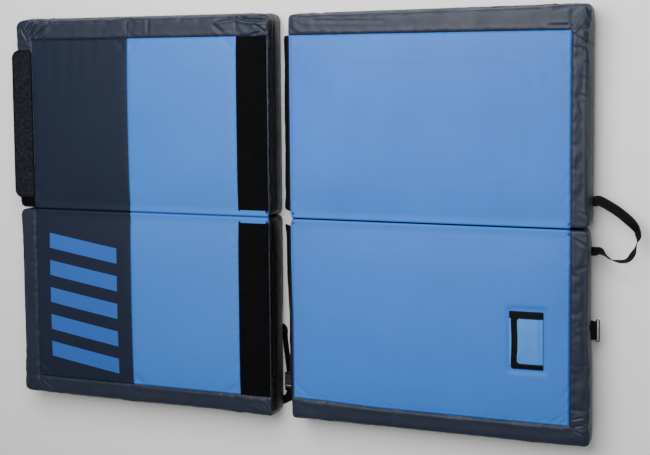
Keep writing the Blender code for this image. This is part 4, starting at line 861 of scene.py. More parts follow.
# Creases that the photograph shows, in the part's frame and in tenths of a millimetre: the start's x and y,
# the end's x and y, the depth and the half width
CREASES = {
    "left_upper": [
        (-10600, 6450, -10337, 6850, 50, 45), (-10440, 6290, -10025, 6830, 55, 48),
        (-10149, 6300, -9528, 6870, 50, 55), (-10560, 6250, -10790, 6600, 25, 50),
        (-9600, 6500, -9000, 6780, 14, 80), (-5537, 6800, -5543, 6360, 20, 55), (-2900, 6700, -2170, 6790, 35, 50),
        (-2170, 6790, -1668, 6690, 48, 50), (-1668, 6690, -1060, 6660, 45, 45), (-1440, 6540, -1080, 6340, 36, 42),
        (-1600, 6250, -1060, 6350, 30, 42), (-3000, 6560, -2650, 6320, 22, 70),
    ],
    "right_upper": [
        (8498, 6336, 9080, 6339, 22, 42), (9600, 5220, 9860, 5090, 26, 38), (9560, 5600, 9860, 5440, 16, 50),
        (9480, 4760, 9850, 4600, 18, 50), (9480, 4200, 9840, 4080, 18, 46), (9660, 6760, 9822, 6324, 30, 35),
        (8417, 6022, 8893, 5478, -14, 100), (9470, 540, 9760, 400, 16, 40), (300, 6650, 3100, 6580, 10, 50),
    ],
    "right_lower": [
        (9300, -5960, 9628, -5873, 18, 32), (9400, -6182, 9620, -6130, 20, 32), (9400, -6330, 9570, -6441, 18, 32),
        (9330, -4300, 9800, -4180, 8, 50), (9330, -3100, 9800, -2980, 8, 60), (9300, -300, 9700, -520, 18, 45),
        (9340, -1250, 9760, -1150, 8, 55),
    ],
    "left_lower": [
        (-10440, -6240, -10200, -6620, 13, 45), (-10390, -6240, -9700, -6680, 12, 55),
        (-10420, -6100, -10850, -6350, 12, 45), (-1300, -6400, -1020, -6780, 10, 38),
        (-1150, -6300, -980, -6700, 10, 34), (-1900, -6600, -1250, -6780, 8, 42),
    ],
}
CREASES = {name: [[n / 10000 for n in row] for row in rows] for name, rows in CREASES.items()}
# Sewn mitres and pleats across the border: start, end, height and the raised side
PLEATS = {
    "right_upper": [((0.9115, 0.6167), (0.976, 0.693), 0.003, -1),
                    ((0.915, 0.619), (0.986, 0.572), 0.0042, 1)],
}
# Heights and depths of the seams along the walls: on most sides, and just under the left unit's join edge
WALL_SEAM = 0.08
WALL_GROOVE = 0.0018
JOIN_SEAM = 0.1035
JOIN_GROOVE = 0.0034
# A second seam lies this far under the join edge's seam on the upper panel
SECOND_SEAM = 0.018
SECOND_GROOVE = 0.0026
# The roll of cloth along the top edges
EDGE_ROLL = 0.0011
# Waves of the cloth round a face's seam: height, distance outward and half width
SEAM_WAVES = ((-0.0026, 0.0, 0.0024), (0.0013, -0.0055, 0.0036), (0.0011, 0.01, 0.007))
SEAM_PUCKER = 0.0012
# Between the left face's fields: the seams' depth, and how far the loop band stands up
FIELD_GROOVE = 0.0014
BAND_RISE = 0.0008
# Heights of the loose cloth's ripples: broad and fine everywhere, ridges and fine ones at the corners
BROAD_RIPPLE, FINE_RIPPLE, CORNER_RIDGE, CORNER_FINE = 0.0011, 0.0005, 0.0024, 0.0014
# The faces' slow waves, the navy cloth's drape and the gathers at the walls' seams
SLOW_WAVE, NAVY_DRAPE, SEAM_GATHER = 0.001, 0.0012, 0.0008
# How deep the face sinks round the bound flap, and how near the floor the cloth may come
PATCH_DIP = 0.0046
LOWEST = 0.0003


def off_segment(point, a, b):
    """Distance from a segment, how far along it a point lies, and the side."""
    dx, dy = b[0] - a[0], b[1] - a[1]
    length2 = dx * dx + dy * dy
    raw = ((point[0] - a[0]) * dx + (point[1] - a[1]) * dy) / length2
    t = clamp(raw)
    side = (dx * (point[1] - a[1]) - dy * (point[0] - a[0])) / math.sqrt(length2)
    return math.hypot(point[0] - a[0] - dx * t, point[1] - a[1] - dy * t), raw, side


def crease_depth(panel, spot):
    """The photographed creases' effect at a place of the top."""
    rise = 0.0
    for x0, y0, x1, y1, depth, width in CREASES.get(panel.name, ()):
        distance, along, _ = off_segment(spot, (x0, y0), (x1, y1))
        if distance < 4 * width:
            fade = math.sin(math.pi * clamp(0.12 + 0.76 * along)) ** 0.5
            rise -= 1.25 * depth * fade * bell(distance, width)
            rise += 0.6 * depth * fade * bell(distance - 1.8 * width, width)
    for a, b, depth, turn in PLEATS.get(panel.name, ()):
        distance, along, side = off_segment(spot, a, b)
        side *= turn
        if distance < 0.02 and -0.02 < along < 1.1:
            rise += depth * math.exp(-side / 0.016) if side > 0 else -0.9 * depth * math.exp(side / 0.0036)
    return rise


def seam_profile(panel, x, y):
    """The grooves and rolled edges of the seams at a place of the top."""
    out_x, out_y = max(MOUTH[0] - x, x - MOUTH[1]), y - MOUTH[3]
    outside = max(out_x, out_y) if max(out_x, out_y) <= 0 else math.hypot(max(out_x, 0), max(out_y, 0))
    near_fold = smoothstep(FOLD_GAP, MOUTH[2], y)
    rise = near_fold * sum(height * bell(outside - at, width) for height, at, width in SEAM_WAVES)
    if outside > 0 and near_fold:
        pucker = ripple(x * 62, y * 62, 3.1 * panel.unit + panel.end)
        calm = 0.5 if panel.name == "right_lower" else 1.0
        rise += SEAM_PUCKER * calm * pucker * math.exp(-outside / 0.02)
    if panel.left and outside < 0:
        for seam in (NAVY_END, BAND_START):
            rise -= FIELD_GROOVE * bell(x - seam, 0.0022)
        if x > BAND_START:
            rise += BAND_RISE * smoothstep(0.0, 0.003, x - BAND_START)
    return rise


def cloth_ripple(panel, x, y, z):
    """Loose cloth on the border and the walls, more so at the corners."""
    seed = 7.7 * panel.unit + 3.3 * panel.end
    far = math.hypot(max(0.0, min(x, UNIT_WIDTH - x) - 0.02), max(0.0, PANEL_LENGTH - y - 0.02))
    corner = bell(far, 0.085) * (0.3 if panel.name == "right_upper" and x < UNIT_WIDTH / 2 else 1.0)
    broad = ripple(x * 9, y * 9, z * 9 + seed)
    fine = ripple(x * 34 + 5, y * 34, z * 11 + seed)
    ridge = 0.5 - abs(ripple(x * 24, y * 24, z * 6 - seed))
    calm = 0.6 if panel.name == "right_lower" else 1.0
    return calm * (BROAD_RIPPLE * broad + FINE_RIPPLE * fine + corner * (CORNER_RIDGE * ridge + CORNER_FINE * fine))


def dip_round_patch(panel, x, y):
    """The face sinks a little round the bound flap."""
    if panel.name != "right_lower":
        return 0.0
    x0, x1, y0, y1 = PATCH_BOX
    off = math.hypot(max(x0 - x, x - x1, 0.0), max(y0 - y, y - y1, 0.0))
    return -PATCH_DIP * bell(off - 0.005, 0.0095)


def dress_point(panel, x, y, z, normal):
    """How far a point of the skin moves along its normal for seams, creases and ripples."""
    if z < 0.012 and normal.z < 0.2:
        return 0.0
    rise = 0.0
    top = smoothstep(0.25, 0.8, normal.z)
    over = max(MOUTH[0] - x, x - MOUTH[1], MOUTH[2] - y, y - MOUTH[3])
    if top > 0:
        spot = (MIDDLE_X + panel.unit * (OUTER_EDGE - x), panel.end * y)
        rise += top * seam_profile(panel, x, y)
        if over > 0:
            rise += top * crease_depth(panel, spot)
        else:
            rise += 0.5 * top * crease_depth(panel, spot) + dip_round_patch(panel, x, y)
            slow = ripple(x * 3.1, y * 4.3, panel.unit + 2.0 * panel.end)
            rise += SLOW_WAVE * top * slow * smoothstep(0.0, 0.05, -over)
            if panel.left and x < NAVY_END:
                drape = ripple(x * 30, y * 5, 6.0 + panel.end)
                rise += NAVY_DRAPE * drape * smoothstep(0.25, 0.6, y) * smoothstep(0.0, 0.03, NAVY_END - x)
    loose = smoothstep(0.004, 0.016, over) if over > 0 else 0.0
    if y > MOUTH[2]:
        rise += loose * cloth_ripple(panel, x, y, z) * (0.2 if not panel.left and x > UNIT_WIDTH - 0.02 else 1.0)
    if over > 0 and y > FOLD_GAP + 0.02:
        rise += EDGE_ROLL * bell(normal.z - 0.72, 0.16)
    if top < 1 and y > FOLD_GAP + 0.02:
        join_side = panel.left and x > UNIT_WIDTH / 2 and y < END_BEND
        seam = JOIN_SEAM if join_side else WALL_SEAM
        rise -= (1 - top) * (JOIN_GROOVE if join_side else WALL_GROOVE) * bell(z - seam, 0.0022)
        if join_side and panel.upper:
            rise -= (1 - top) * SECOND_GROOVE * bell(z - JOIN_SEAM + SECOND_SEAM, 0.003)
        gather = ripple(x * 45, y * 45, 1.7 * panel.unit)
        rise += (1 - top) * SEAM_GATHER * gather * math.exp(-abs(z - seam) / 0.014)
    if y > END_BEND and ZIP_MARGIN - 0.02 < x < UNIT_WIDTH - ZIP_MARGIN + 0.02 and top < 0.5:
        rise = min(rise, 0.004) * smoothstep(0.01, 0.02, abs(z - ZIP_HEIGHT))
    return rise


def finished_skin(panel):
    """Swell, subdivide and dress the skin. Returns the mesh and its cloths' names."""
    points, faces, cloths = base_skin(panel)
    points = swollen(panel, points, faces)
    names = sorted(set(cloths))
    holder = skin_object(panel, "_skin", points, faces, [names.index(cloth) for cloth in cloths])
    for _ in names:
        holder.data.materials.append(None)
    holder.modifiers.new("fine", "SUBSURF").levels = 1
    made = bpy.data.meshes.new_from_object(holder.evaluated_get(bpy.context.evaluated_depsgraph_get()))
    bpy.data.objects.remove(holder)
    normals = [vertex.normal.copy() for vertex in made.vertices]
    for vertex, normal in zip(made.vertices, normals):
        x, y = panel.inward(vertex.co)
        vertex.co = vertex.co + normal * dress_point(panel, x, y, vertex.co.z, normal)
        if panel.name == "left_upper" and x < MOUTH[0] - 0.002 and 0.004 < y < 0.6:
            vertex.co.z = min(vertex.co.z, THICKNESS + 0.0009)
        vertex.co.z = max(vertex.co.z, LOWEST)
    panel.skin = BVHTree.FromPolygons([v.co for v in made.vertices], [p.vertices for p in made.polygons])
    return made, names


# The fields of a face: where each starts and ends across the panel, and its surface
FIELDS = {"face": (MOUTH[0], MOUTH[1], "smooth_blue"), "navy_face": (MOUTH[0], NAVY_END, "navy"),
          "blue_face": (NAVY_END, BAND_START, "ribbed_blue"), "loop_band": (BAND_START, MOUTH[1], "pile")}


def split_skin(panel):
    """The finished skin as one piece for each cloth."""
    made, names = finished_skin(panel)

    def cloth_piece(cloth, surface):
        """The faces of one cloth, in place of the node of that name."""
        work = bmesh.new()
        work.from_mesh(made)
        others = [face for face in work.faces if face.material_index != names.index(cloth)]
        bmesh.ops.delete(work, geom=others, context="FACES")
        for face in work.faces:
            face.material_index = 0
        piece = new_piece(panel.name + "_" + cloth + "_cloth", work, surface, panel.name)
        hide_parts(panel.name + "_" + cloth)
        return piece

    def on_join_wall(face):
        x, y = panel.inward(face.center)
        return x > MOUTH[1] + 0.0015 and face.center.z > 0.012 and y < END_BEND

    def on_join_lip(face):
        x, y = panel.inward(face.center)
        return x > MOUTH[1] and face.center.z > THICKNESS - 0.011 and MOUTH[2] - 0.004 < y < MOUTH[3]

    cover = cloth_piece("cover", "coated")
    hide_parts(*(panel.name + "_" + layer + "_foam" for layer in ("top", "core", "base")))
    # The left unit's join wall is painted lighter on the upper panel and near black on the lower: painted light and
    # shade on one cloth.
    if panel.left:
        second_surface(cover, "wall_coated" if panel.upper else "black_coated", on_join_wall)
    else:
        second_surface(cover, "lip_upper" if panel.upper else "lip_lower", on_join_lip)
    for cloth in names:
        if cloth != "cover":
            low, high, surface = FIELDS[cloth]
            if panel.name == "left_lower" and cloth == "navy_face":
                surface = "printed"
            piece = cloth_piece(cloth, surface)
    bpy.data.meshes.remove(made)
    return cover


# Strips across the folds
def fold_strip(upper, lower):
    """The strip that carries the face's cloth across a fold, creased along its middle."""
    side = "left" if upper.left else "right"
    seams = [NAVY_END, BAND_START] if upper.left else []
    xs = even_lines([MOUTH[0] + 0.0005, *seams, MOUTH[1]], 0.014)
    reach, seam, sunk = 0.034, MOUTH[2] + 0.0018, 0.013
    fine = [0.0, 0.0006, 0.0013, 0.002, 0.0028, 0.004, 0.0075, seam, reach]
    ys = even_lines([-y for y in reversed(fine[1:])] + fine, 0.0042)

    def near(x, y):
        """Draw the strip in where it lies between the loop bands."""
        short = upper.left and x > BAND_START - 0.001
        return math.copysign(seam + (abs(y) - seam) * 0.06, y) if short and abs(y) > seam else y

    def high(x, y):
        panel = upper if y > 0 else lower
        edge = panel.top(x, max(abs(y), seam))
        share = 1 - smoothstep(0.0, seam + 0.004, abs(y))
        wave = 0.0006 * ripple(x * 26, y * 50, upper.unit)
        over = 0.0006 - 0.001 * smoothstep(seam, reach, abs(y))
        return edge + over + (THICKNESS + 0.0018 - edge + wave) * share - sunk * bell(y, 0.0022)

    mesh = slab(xs, ys, lambda x, y: high(x, near(x, y)) - 0.0012, lambda x, y: high(x, near(x, y)),
                lambda x, y, z: upper.place(x, near(x, y), z))
    piece = new_piece(side + "_fold_strip_cloth", mesh, "ribbed_blue" if upper.left else "smooth_blue")
    # On the right fold the middle of the crease is painted near black: painted shade in the fold.
    if upper.left:
        second_surface(piece, "navy", lambda face: upper.inward(face.center)[0] < NAVY_END)
    else:
        second_surface(piece, "black_coated", lambda face: abs(face.center.y) < 0.0021)
    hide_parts(side + "_upper_fold_strip", side + "_lower_fold_strip")
    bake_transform(piece)


# Zips
def zip_tape(panel):
    """The zip's tape, sewn to the end wall, with its coil and stitches."""
    start, end = ZIP_MARGIN, UNIT_WIDTH - ZIP_MARGIN
    low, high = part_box(panel.name + "_zip")
    height = (low.z + high.z) / 2
    xs = even_lines([start, end], 0.02)
    zs = even_lines([height - ZIP_WIDTH / 2, height - 0.0025, height + 0.0025, height + ZIP_WIDTH / 2], 0.005)
    wall = {x: max(panel.end_wall(x, z) for z in (height - 0.009, height, height + 0.009)) for x in xs}

    def near_wall(x):
        return wall[min(xs, key=lambda line: abs(line - x))]

    tape = slab(xs, zs, lambda x, z: wall[x] + 0.0001, lambda x, z: wall[x] + 0.0012,
                lambda x, z, y: panel.place(x, y, z))
    piece = new_piece(panel.name + "_zip_tape", tape, "binding", panel.name, smooth=False)
    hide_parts(panel.name + "_zip")
    coil = bmesh.new()
    section, pitch, turn = ((-0.5, 0.0), (-0.35, 0.8), (0.35, 0.8), (0.5, 0.0)), 0.0026, 1
    for k in range(int((end - start - 0.012) / pitch)):
        x, turn = start + 0.006 + k * pitch, -turn
        y, z = near_wall(x) + 0.0012, height + turn * 0.0011
        add_tube(coil, [[panel.place(x + u * 0.002, y + v * 0.0012, z + reach) for u, v in section]
                        for reach in (-0.0021, 0.0021)])
    bmesh.ops.recalc_face_normals(coil, faces=coil.faces)
    new_piece(panel.name + "_zip_coil", coil, "plastic", panel.name, smooth=False)
    for z in (height - ZIP_WIDTH / 2 + 0.003, height + ZIP_WIDTH / 2 - 0.003):
        stitch_line(panel.name, [panel.place(x, wall[x] + 0.0014, z) for x in xs], Vector((0, panel.end, 0)))


def plate(panel, outline, z, layers):
    """A plate that lies on an end wall: an outline of x and z, in layers of y with their growth."""
    cx = sum(x for x, _ in outline) / len(outline)
    return swept([[panel.place(cx + (x - cx) * grow, y, z + v * grow) for x, v in outline] for y, grow in layers])


def zip_slider(panel):
    """The slider on the coil and its pull, in place of the plain one."""
    start, tip, low, high = panel.span(panel.name + "_zip_slider")
    near = min(abs(low.y), abs(high.y))
    z, half, head = (low.z + high.z) / 2, 0.0045, start + 0.012
    body = [(start, -half * 0.7), (head - 0.003, -half), (head, -half * 0.6), (head, half * 0.6),
            (head - 0.003, half), (start, half * 0.7)]
    layers = ((near, 0.93), (near + 0.0004, 1.0), (near + 0.0013, 1.0), (near + 0.0018, 0.9))
    meshes = [plate(panel, body, z, layers)]
    arch = []
    for t in (0, 0.15, 0.35, 0.65, 0.85, 1):
        x, y = start + 0.002 + 0.008 * t, near + 0.0017 + 0.0011 * math.sin(math.pi * t)
        arch.append([panel.place(x, y + v, z + u) for u, v in
                     ((-0.0015, -0.0004), (0.0015, -0.0004), (0.0015, 0.0002), (-0.0015, 0.0002))])
    meshes.append(swept(arch))
    pull = arc((tip - 0.004, 0.0), 0.004, -math.pi / 2, math.pi, 8)
    pull += [(head + 0.006, 0.0028), (head - 0.001, 0.0022), (head - 0.001, -0.0022), (head + 0.006, -0.0028)]
    meshes.append(plate(panel, pull, z, ((near + 0.0001, 0.97), (near + 0.0004, 1.0), (near + 0.0009, 1.0),
                                         (near + 0.0012, 0.97))))
    piece = new_piece(panel.name + "_zip_runner", merged(meshes), "plastic", panel.name)
    piece.data.set_sharp_from_angle(angle=math.radians(40))
    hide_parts(panel.name + "_zip_slider")


# Carpet for wiping shoes
def carpet_flap(panel):
    """The carpet with its bound edge, and the fleece strip that it closes onto."""
    x0, x1, low, high = panel.span("carpet_flap")
    y0, y1, radius = low.y, high.y, 0.026
    xs, ys = even_lines([x0, x1], 0.005), even_lines([y0, y1], 0.005)

    def wavy(x, y):
        return 0.0007 * ripple(x * 20, y * 14, 4.0) + 0.0004

    def pile(x, y):
        return high.z + wavy(x, y) + 0.0007 * ripple(x * 210, y * 210, 1.0)

    mesh = slab(xs, ys, lambda x, y: low.z + 0.0002 + wavy(x, y) * 0.5, pile, panel.place,
                box=(x0, x1 + radius, y0, y1), radius=radius)
    piece = new_piece("carpet_flap_pile", mesh, "carpet", "carpet")
    second_surface(piece, "hook", lambda face: face.normal.z < -0.5)
    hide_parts("carpet_flap")
    path = [(x1, y0)]
    for centre_y, first in ((y0 + radius, -math.pi / 2), (y1 - radius, math.pi)):
        path += arc((x0 + radius, centre_y), radius, first, -math.pi / 2, 8)
    path.append((x1, y1))
    spots = []
    for (ax, ay), (bx, by) in zip(path, path[1:]):
        count = max(1, round(math.hypot(bx - ax, by - ay) / 0.012))
        spots += [(ax + (bx - ax) * k / count, ay + (by - ay) * k / count) for k in range(count)]
    spots.append(path[-1])
    centre = Vector(((x0 + x1) / 2 + 0.02, (y0 + y1) / 2))
    rows, seam = [], []
    rise = (high.z - low.z) / 2
    for k, (x, y) in enumerate(spots):
        a, b = spots[max(k - 1, 0)], spots[min(k + 1, len(spots) - 1)]
        out = Vector((b[1] - a[1], a[0] - b[0])).normalized()
        if out.dot(Vector((x, y)) - centre) < 0:
            out = -out
        z = (high.z + low.z) / 2 + wavy(x, y) * 0.6
        rows.append([panel.place(x + out.x * u, y + out.y * u, z + rise * v) for u, v in
                     ((-0.0035, 1.28), (0.0008, 1.26), (0.0034, 1.0), (0.0046, 0.4), (0.0046, -0.4), (0.0034, -0.95),
                      (0.0008, -1.0), (-0.0035, -1.0))])
        seam.append(panel.place(x - out.x * 0.0015, y - out.y * 0.0015, z + rise * 1.3))
    binding = new_piece("carpet_edge_binding", swept(rows), "binding", "carpet")
    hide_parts("carpet_flap_binding")
    stitch_line("carpet", seam, UP)
    root = [panel.place(x1 - 0.003, y, high.z + 0.001) for y in even_lines([y0 + 0.004, y1 - 0.004], 0.02)]
    stitch_line("carpet", root, UP)
    *sides, low, high = panel.span("carpet_fleece_strip")
    mesh = slab(even_lines(sides, 0.006), even_lines([low.y, high.y], 0.008), lambda x, y: low.z,
                lambda x, y: high.z - 0.0001 - 0.0004 * abs(ripple(x * 160, y * 160, 2.0)), panel.place)
    fleece = new_piece("carpet_fleece_pad", mesh, "pile", "left_upper")
    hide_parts("carpet_fleece_strip")


# Flaps that join the units
def join_flap(panel):
    """A hook flap that droops from the right unit's join edge into the gap."""
    node = "join_flap_" + ("upper" if panel.upper else "lower")
    low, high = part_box(node)
    y0, y1 = sorted(abs(v) for v in (low.y, high.y))
    y1 += 0.006 if panel.upper else 0.0
    axis_x, axis_z = MIDDLE_X + JOIN_AXIS[0], JOIN_AXIS[1]
    length, droop, radius = JOIN_FLAP_LENGTH, math.radians(JOIN_DROOP), 0.01
    seed = 3.0 + panel.end

    def place(x, y, z):
        share = max(0.0, x / length)
        wave = 0.003 * ripple(y * 9, seed, x * 8) + 0.0012 * ripple(y * 31, seed, x * 20)
        curl = 0.004 * bell(y - y0, 0.03) - 0.0025
        more = 2.0 + 9.0 * smoothstep(0.1, 0.5, y) if not panel.upper else 0.5
        turn = droop + math.radians(more) * min(1.0, 3 * share)
        rise = z + (wave + curl) * share ** 1.3
        along, up = x * math.cos(turn) + rise * math.sin(turn), -x * math.sin(turn) + rise * math.cos(turn)
        return Vector((axis_x - along, panel.end * y, axis_z + up))

    def half(x, y=0.0):
        return 0.0014 if x < 0.002 else 0.0011 if x > length - 0.006 else 0.0009

    xs, ys = even_lines([-0.0012, 0.002, length - radius, length], 0.006), even_lines([y0, y1], 0.009)
    mesh = slab(xs, ys, lambda x, y: -half(x), half, place, box=(xs[0] - radius, length, y0, y1), radius=radius)
    piece = new_piece(node + "_cloth", mesh, "black_coated", node)

    def hooked(face):
        y, z = abs(face.center.y), face.center.z
        return face.normal.x > 0.2 and min(y - y0, y1 - y) > 0.008 and z < axis_z - 0.012

    second_surface(piece, "hook", hooked)
    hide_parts(node)
    for x in (0.006, length - 0.005):
        line = [place(x, y, half(x) + 0.0002) for y in even_lines([y0 + 0.008, y1 - 0.008], 0.01)]
        stitch_line(node, line, Vector((-math.sin(droop), 0, math.cos(droop))))


# Bound flap on the lower right face
def patch_flap(panel):
    """The small flap with binding on three sides, a little puffed up from the face."""
    x0, x1, y0, y1 = PATCH_BOX
    side, top, foot = 0.02, 0.0225, 0.017
    heights = {}

    def lift(u, v):
        u, v = clamp(u), clamp(v)
        puff = 0.006 * math.sin(math.pi * min(0.04 + v, 1.0)) ** 0.6 * math.sin(math.pi * (0.08 + 0.8 * u)) ** 0.8
        ridge = bell(u - 0.17 - 0.02 * math.sin(5 * v), 0.055) * math.sin(math.pi * v) ** 0.7
        return puff + 0.003 * ridge * smoothstep(0.0, 0.05, u) + 0.0014 * smoothstep(0.75, 1.0, u)

    def low(x, y):
        key = (round(x, 5), round(y, 5))
        if key not in heights:
            heights[key] = panel.top(x, y) + lift((x - x0) / (x1 - x0), (y - y0) / (y1 - y0))
        return heights[key] + 0.0003

    def fold(x, y):
        u, v = (x - x0) / (x1 - x0), (y - y0) / (y1 - y0)
        across = off_segment((u, v), (0.62, 0.62), (0.95, 0.95))[2]
        rise = 0.0012 * bell(across, 0.07) * smoothstep(0.55, 0.8, v)
        return rise - 0.0008 * bell(u - 0.42, 0.08) + 0.0006 * ripple(x * 60, y * 42, 8.0)

    rim, inside = 0.0055, x1 - side
    inner = (x0, x1 + rim, y0 + top * 0.5, y1 - foot * 0.3)

    def face_top(x, y):
        beside = smoothstep(inside - 0.002, inside + 0.002, x) * (1 - smoothstep(x1 - 0.002, x1 + 0.001, x))
        under_tape = max(beside, smoothstep(y1 - foot - 0.003, y1 - foot, y),
                         1 - smoothstep(y0 + top - 0.003, y0 + top, y))
        return low(x, y) + 0.0012 + (1 - under_tape) * (0.0004 + fold(x, y))

    mesh = slab(even_lines([x0, inside, x1, x1 + rim], 0.0036), even_lines(inner[2:], 0.0042), low,
                face_top, panel.place, box=(x0 - 0.014, *inner[1:]), radius=0.012)
    # The flap's cloth is painted a lighter blue than the face round it: painted light.
    cloth = new_piece("patch_flap_panel", mesh, "flap_blue", "patch_flap")
    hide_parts("patch_flap_cloth")

    def tape(x, y, over=0.0):
        inset = max(0.0, min(x1 + rim - x, y - y0, y1 - y))
        return low(x, y) + 0.0028 + over - 0.0011 * math.exp(-inset / 0.0016)

    a, b, c, d = x0, x1 + rim, y0, y0 + top
    band = slab(even_lines([a, a + 0.0012, b - 0.0012, b], 0.004), even_lines([c, c + 0.0012, d - 0.0012, d], 0.004),
                lambda x, y: low(x, y) - 0.0002, lambda x, y: tape(x, y, 0.0006), panel.place, box=(a, b, c, d),
                radius=0.0022)
    bend, cut = 0.01, 0.007
    quarter = [(math.sin(k * math.pi / 12), math.cos(k * math.pi / 12)) for k in range(7)]
    pairs = [((x1, y0 + top * 0.5 + (top * 0.5 + bend) * k / 6),
              (inside - bend + bend * sine, y0 + top - 0.001 + (bend + 0.001) * (1 - cosine)))
             for k, (sine, cosine) in enumerate(quarter)]
    straight = even_lines([y0 + top + bend, y1 - foot - bend], 0.006)[1:-1]
    for k, y in enumerate(straight):
        drawn = 0.0022 * math.sin(math.pi * k / len(straight))
        pairs.append(((x1 - drawn, y), (inside - drawn, y)))
    outer = [(x1, y1 - foot - bend), (x1, y1 - foot), (x1, y1 - cut), (x1 - cut * 0.3, y1 - cut * 0.3),
             (x1 - cut, y1), (inside, y1), (inside - bend, y1)]
    pairs += [(spot, (inside - bend + bend * cosine, y1 - foot - bend + bend * sine))
              for spot, (sine, cosine) in zip(outer, quarter)]
    pairs += [((x, y1), (x, y1 - foot)) for x in reversed(even_lines([x0, inside - bend], 0.006)[:-1])]
    rows = []
    for (ox, oy), (ix, iy) in pairs:
        across = [(ox + (ix - ox) * t, oy + (iy - oy) * t) for t in (0.0, 0.07, 0.35, 0.65, 0.93, 1.0)]
        rounding = (0.001, 0.0001, 0.0, 0.0, 0.0001, 0.001)
        row = [panel.place(x, y, low(x, y) + 0.0027 - r) for (x, y), r in zip(across, rounding)]
        rows.append(row + [panel.place(x, y, low(x, y) - 0.0002) for x, y in reversed(across)])
    binding = new_piece("patch_flap_tape", merged([band, swept(rows)]), "binding", "patch_flap")
    round_edges(binding, 0.0003, 1, 60.0)
    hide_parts("patch_flap_binding")
    across = even_lines([x0 + 0.003, inside + 0.004], 0.006)
    for line in ([(x, y0 + top - 0.003) for x in across],
                 [(inside + 0.003, y) for y in even_lines([y0 + top, y1 - foot], 0.006)],
                 [(x, y1 - foot + 0.003) for x in across]):
        stitch_line("patch_flap", [panel.place(x, y, tape(x, y, 0.0007)) for x, y in line], UP)


# Webbing loop: its height, its route outside the wall as x and y, and its turn in degrees along the way
LOOP_HEIGHT = 0.062
LOOP_ROUTE = ((0.0, 0.0845), (0.018, 0.0845), (0.078, 0.048), (0.126, 0.0), (0.126, -0.046), (0.101, -0.0965),
              (0.053, -0.0988), (0.018, -0.0735), (0.0, -0.0735))
LOOP_TURNS = ((0.0, 0.0), (0.28, 4.0), (0.42, 50.0), (0.5, 90.0), (0.58, 122.0), (0.68, 118.0), (0.8, 92.0),
              (0.9, 52.0), (1.0, 38.0))


def webbing_loop():
    """The carrying loop, twisted as in the photograph, as two halves that meet at the fold line."""
    wall = MIDDLE_X + OUTER_EDGE + WALL_BULGE
    route = [Vector((wall + x, y, LOOP_HEIGHT)) for x, y in LOOP_ROUTE]
    steps = 96
    points, flats = curved(route, steps), []
    for k in range(steps + 1):
        share = k / steps
        along = (catmull(route, min(share + 0.02, 1)) - catmull(route, max(share - 0.02, 0))).normalized()
        turn = math.radians(table_value(LOOP_TURNS, share))
        flats.append(Vector((-along.y, along.x, 0)) * math.cos(turn) + Vector((0, 0, math.sin(turn))))
    inner = Vector((LOOP_ROOT, 0, 0))
    points = [points[0] - inner, *points, points[-1] - inner]
    flats = [flats[0], *flats, flats[-1]]
    cut = next(k for k, point in enumerate(points) if point.y <= 0)
    share = points[cut - 1].y / (points[cut - 1].y - points[cut].y)
    middle, flat = points[cut - 1].lerp(points[cut], share), flats[cut - 1].lerp(flats[cut], share)
    halves = (("upper", points[:cut] + [middle], flats[:cut] + [flat]),
              ("lower", [middle] + points[cut:], [flat] + flats[cut:]))
    for label, run, across in halves:
        piece = ribbon("webbing_loop_" + label + "_half", run, across, LOOP_WIDTH, LOOP_THICKNESS, "right_" + label,
                       (-0.0115, 0.0115))
        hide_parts("webbing_loop_" + label)


# Wire ring and its tab
def wire_ring():
    """A long wire ring with round ends, in its webbing tab."""
    low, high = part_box("wire_ring")
    wire = high.z - low.z
    z = (high.z + low.z) / 2
    bend = (high.x - low.x - wire) * 0.38
    centre = Vector((low.x + wire / 2 + bend, (low.y + high.y) / 2, z))
    reach = (high.y - low.y) / 2 - wire / 2 - bend
    path = [Vector((*spot, 0)) for middle, first in ((reach, math.pi), (-reach, 0.0))
            for spot in arc((0.0, middle), bend, first, -math.pi, 16)]
    rows = []
    for k, point in enumerate(path):
        along = (path[(k + 1) % len(path)] - path[k - 1]).normalized()
        side = Vector((along.y, -along.x, 0))
        rows.append([centre + point + (side * math.cos(n * math.pi / 8) + UP * math.sin(n * math.pi / 8)) * wire / 2
                     for n in range(16)])
    piece = new_piece("wire_ring_round", swept(rows, closed=True), "steel", "ring")
    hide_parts("wire_ring")
    eye = Vector((low.x + wire / 2, centre.y, z))
    tab_low, tab_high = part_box("ring_tab")
    back, foot = -0.02, (tab_high.z - tab_low.z) / 2
    half = []
    for radius, spread, rise in ((wire / 2 + 0.0019, foot, 0.0), (wire / 2 + 0.0003, foot - 0.0022, 0.0014)):
        knee = (back + 0.0075 - rise, spread * 0.6 - rise * 0.6)
        half.append([(back, spread), knee, (-0.0024, radius), *arc((0.0, 0.0), radius, math.pi / 2, -math.pi, 16),
                     (-0.0024, -radius), (knee[0], -knee[1]), (back, -spread)])
    outer, inner = half
    rows = []
    wide = reach - 0.0006
    for y, shrink in ((-wide, 0.95), (0.0008 - wide, 1.0), (wide - 0.0008, 1.0), (wide, 0.95)):
        row = [Vector((eye.x + x * (shrink if x > 0 else 1), centre.y + y, z + v)) for x, v in outer]
        rows.append(row + [Vector((eye.x + x, centre.y + y, z + v)) for x, v in reversed(inner)])
    mesh = bmesh.new()
    made = add_tube(mesh, rows, capped=False)
    count = len(rows[0])
    for row in (made[0], made[-1]):
        for k in range(len(outer) - 1):
            mesh.faces.new((row[k], row[k + 1], row[count - 2 - k], row[count - 1 - k]))
    bmesh.ops.recalc_face_normals(mesh, faces=mesh.faces)
    tab = new_piece("ring_tab_webbing", mesh, "webbing", "right_lower")
    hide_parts("ring_tab")


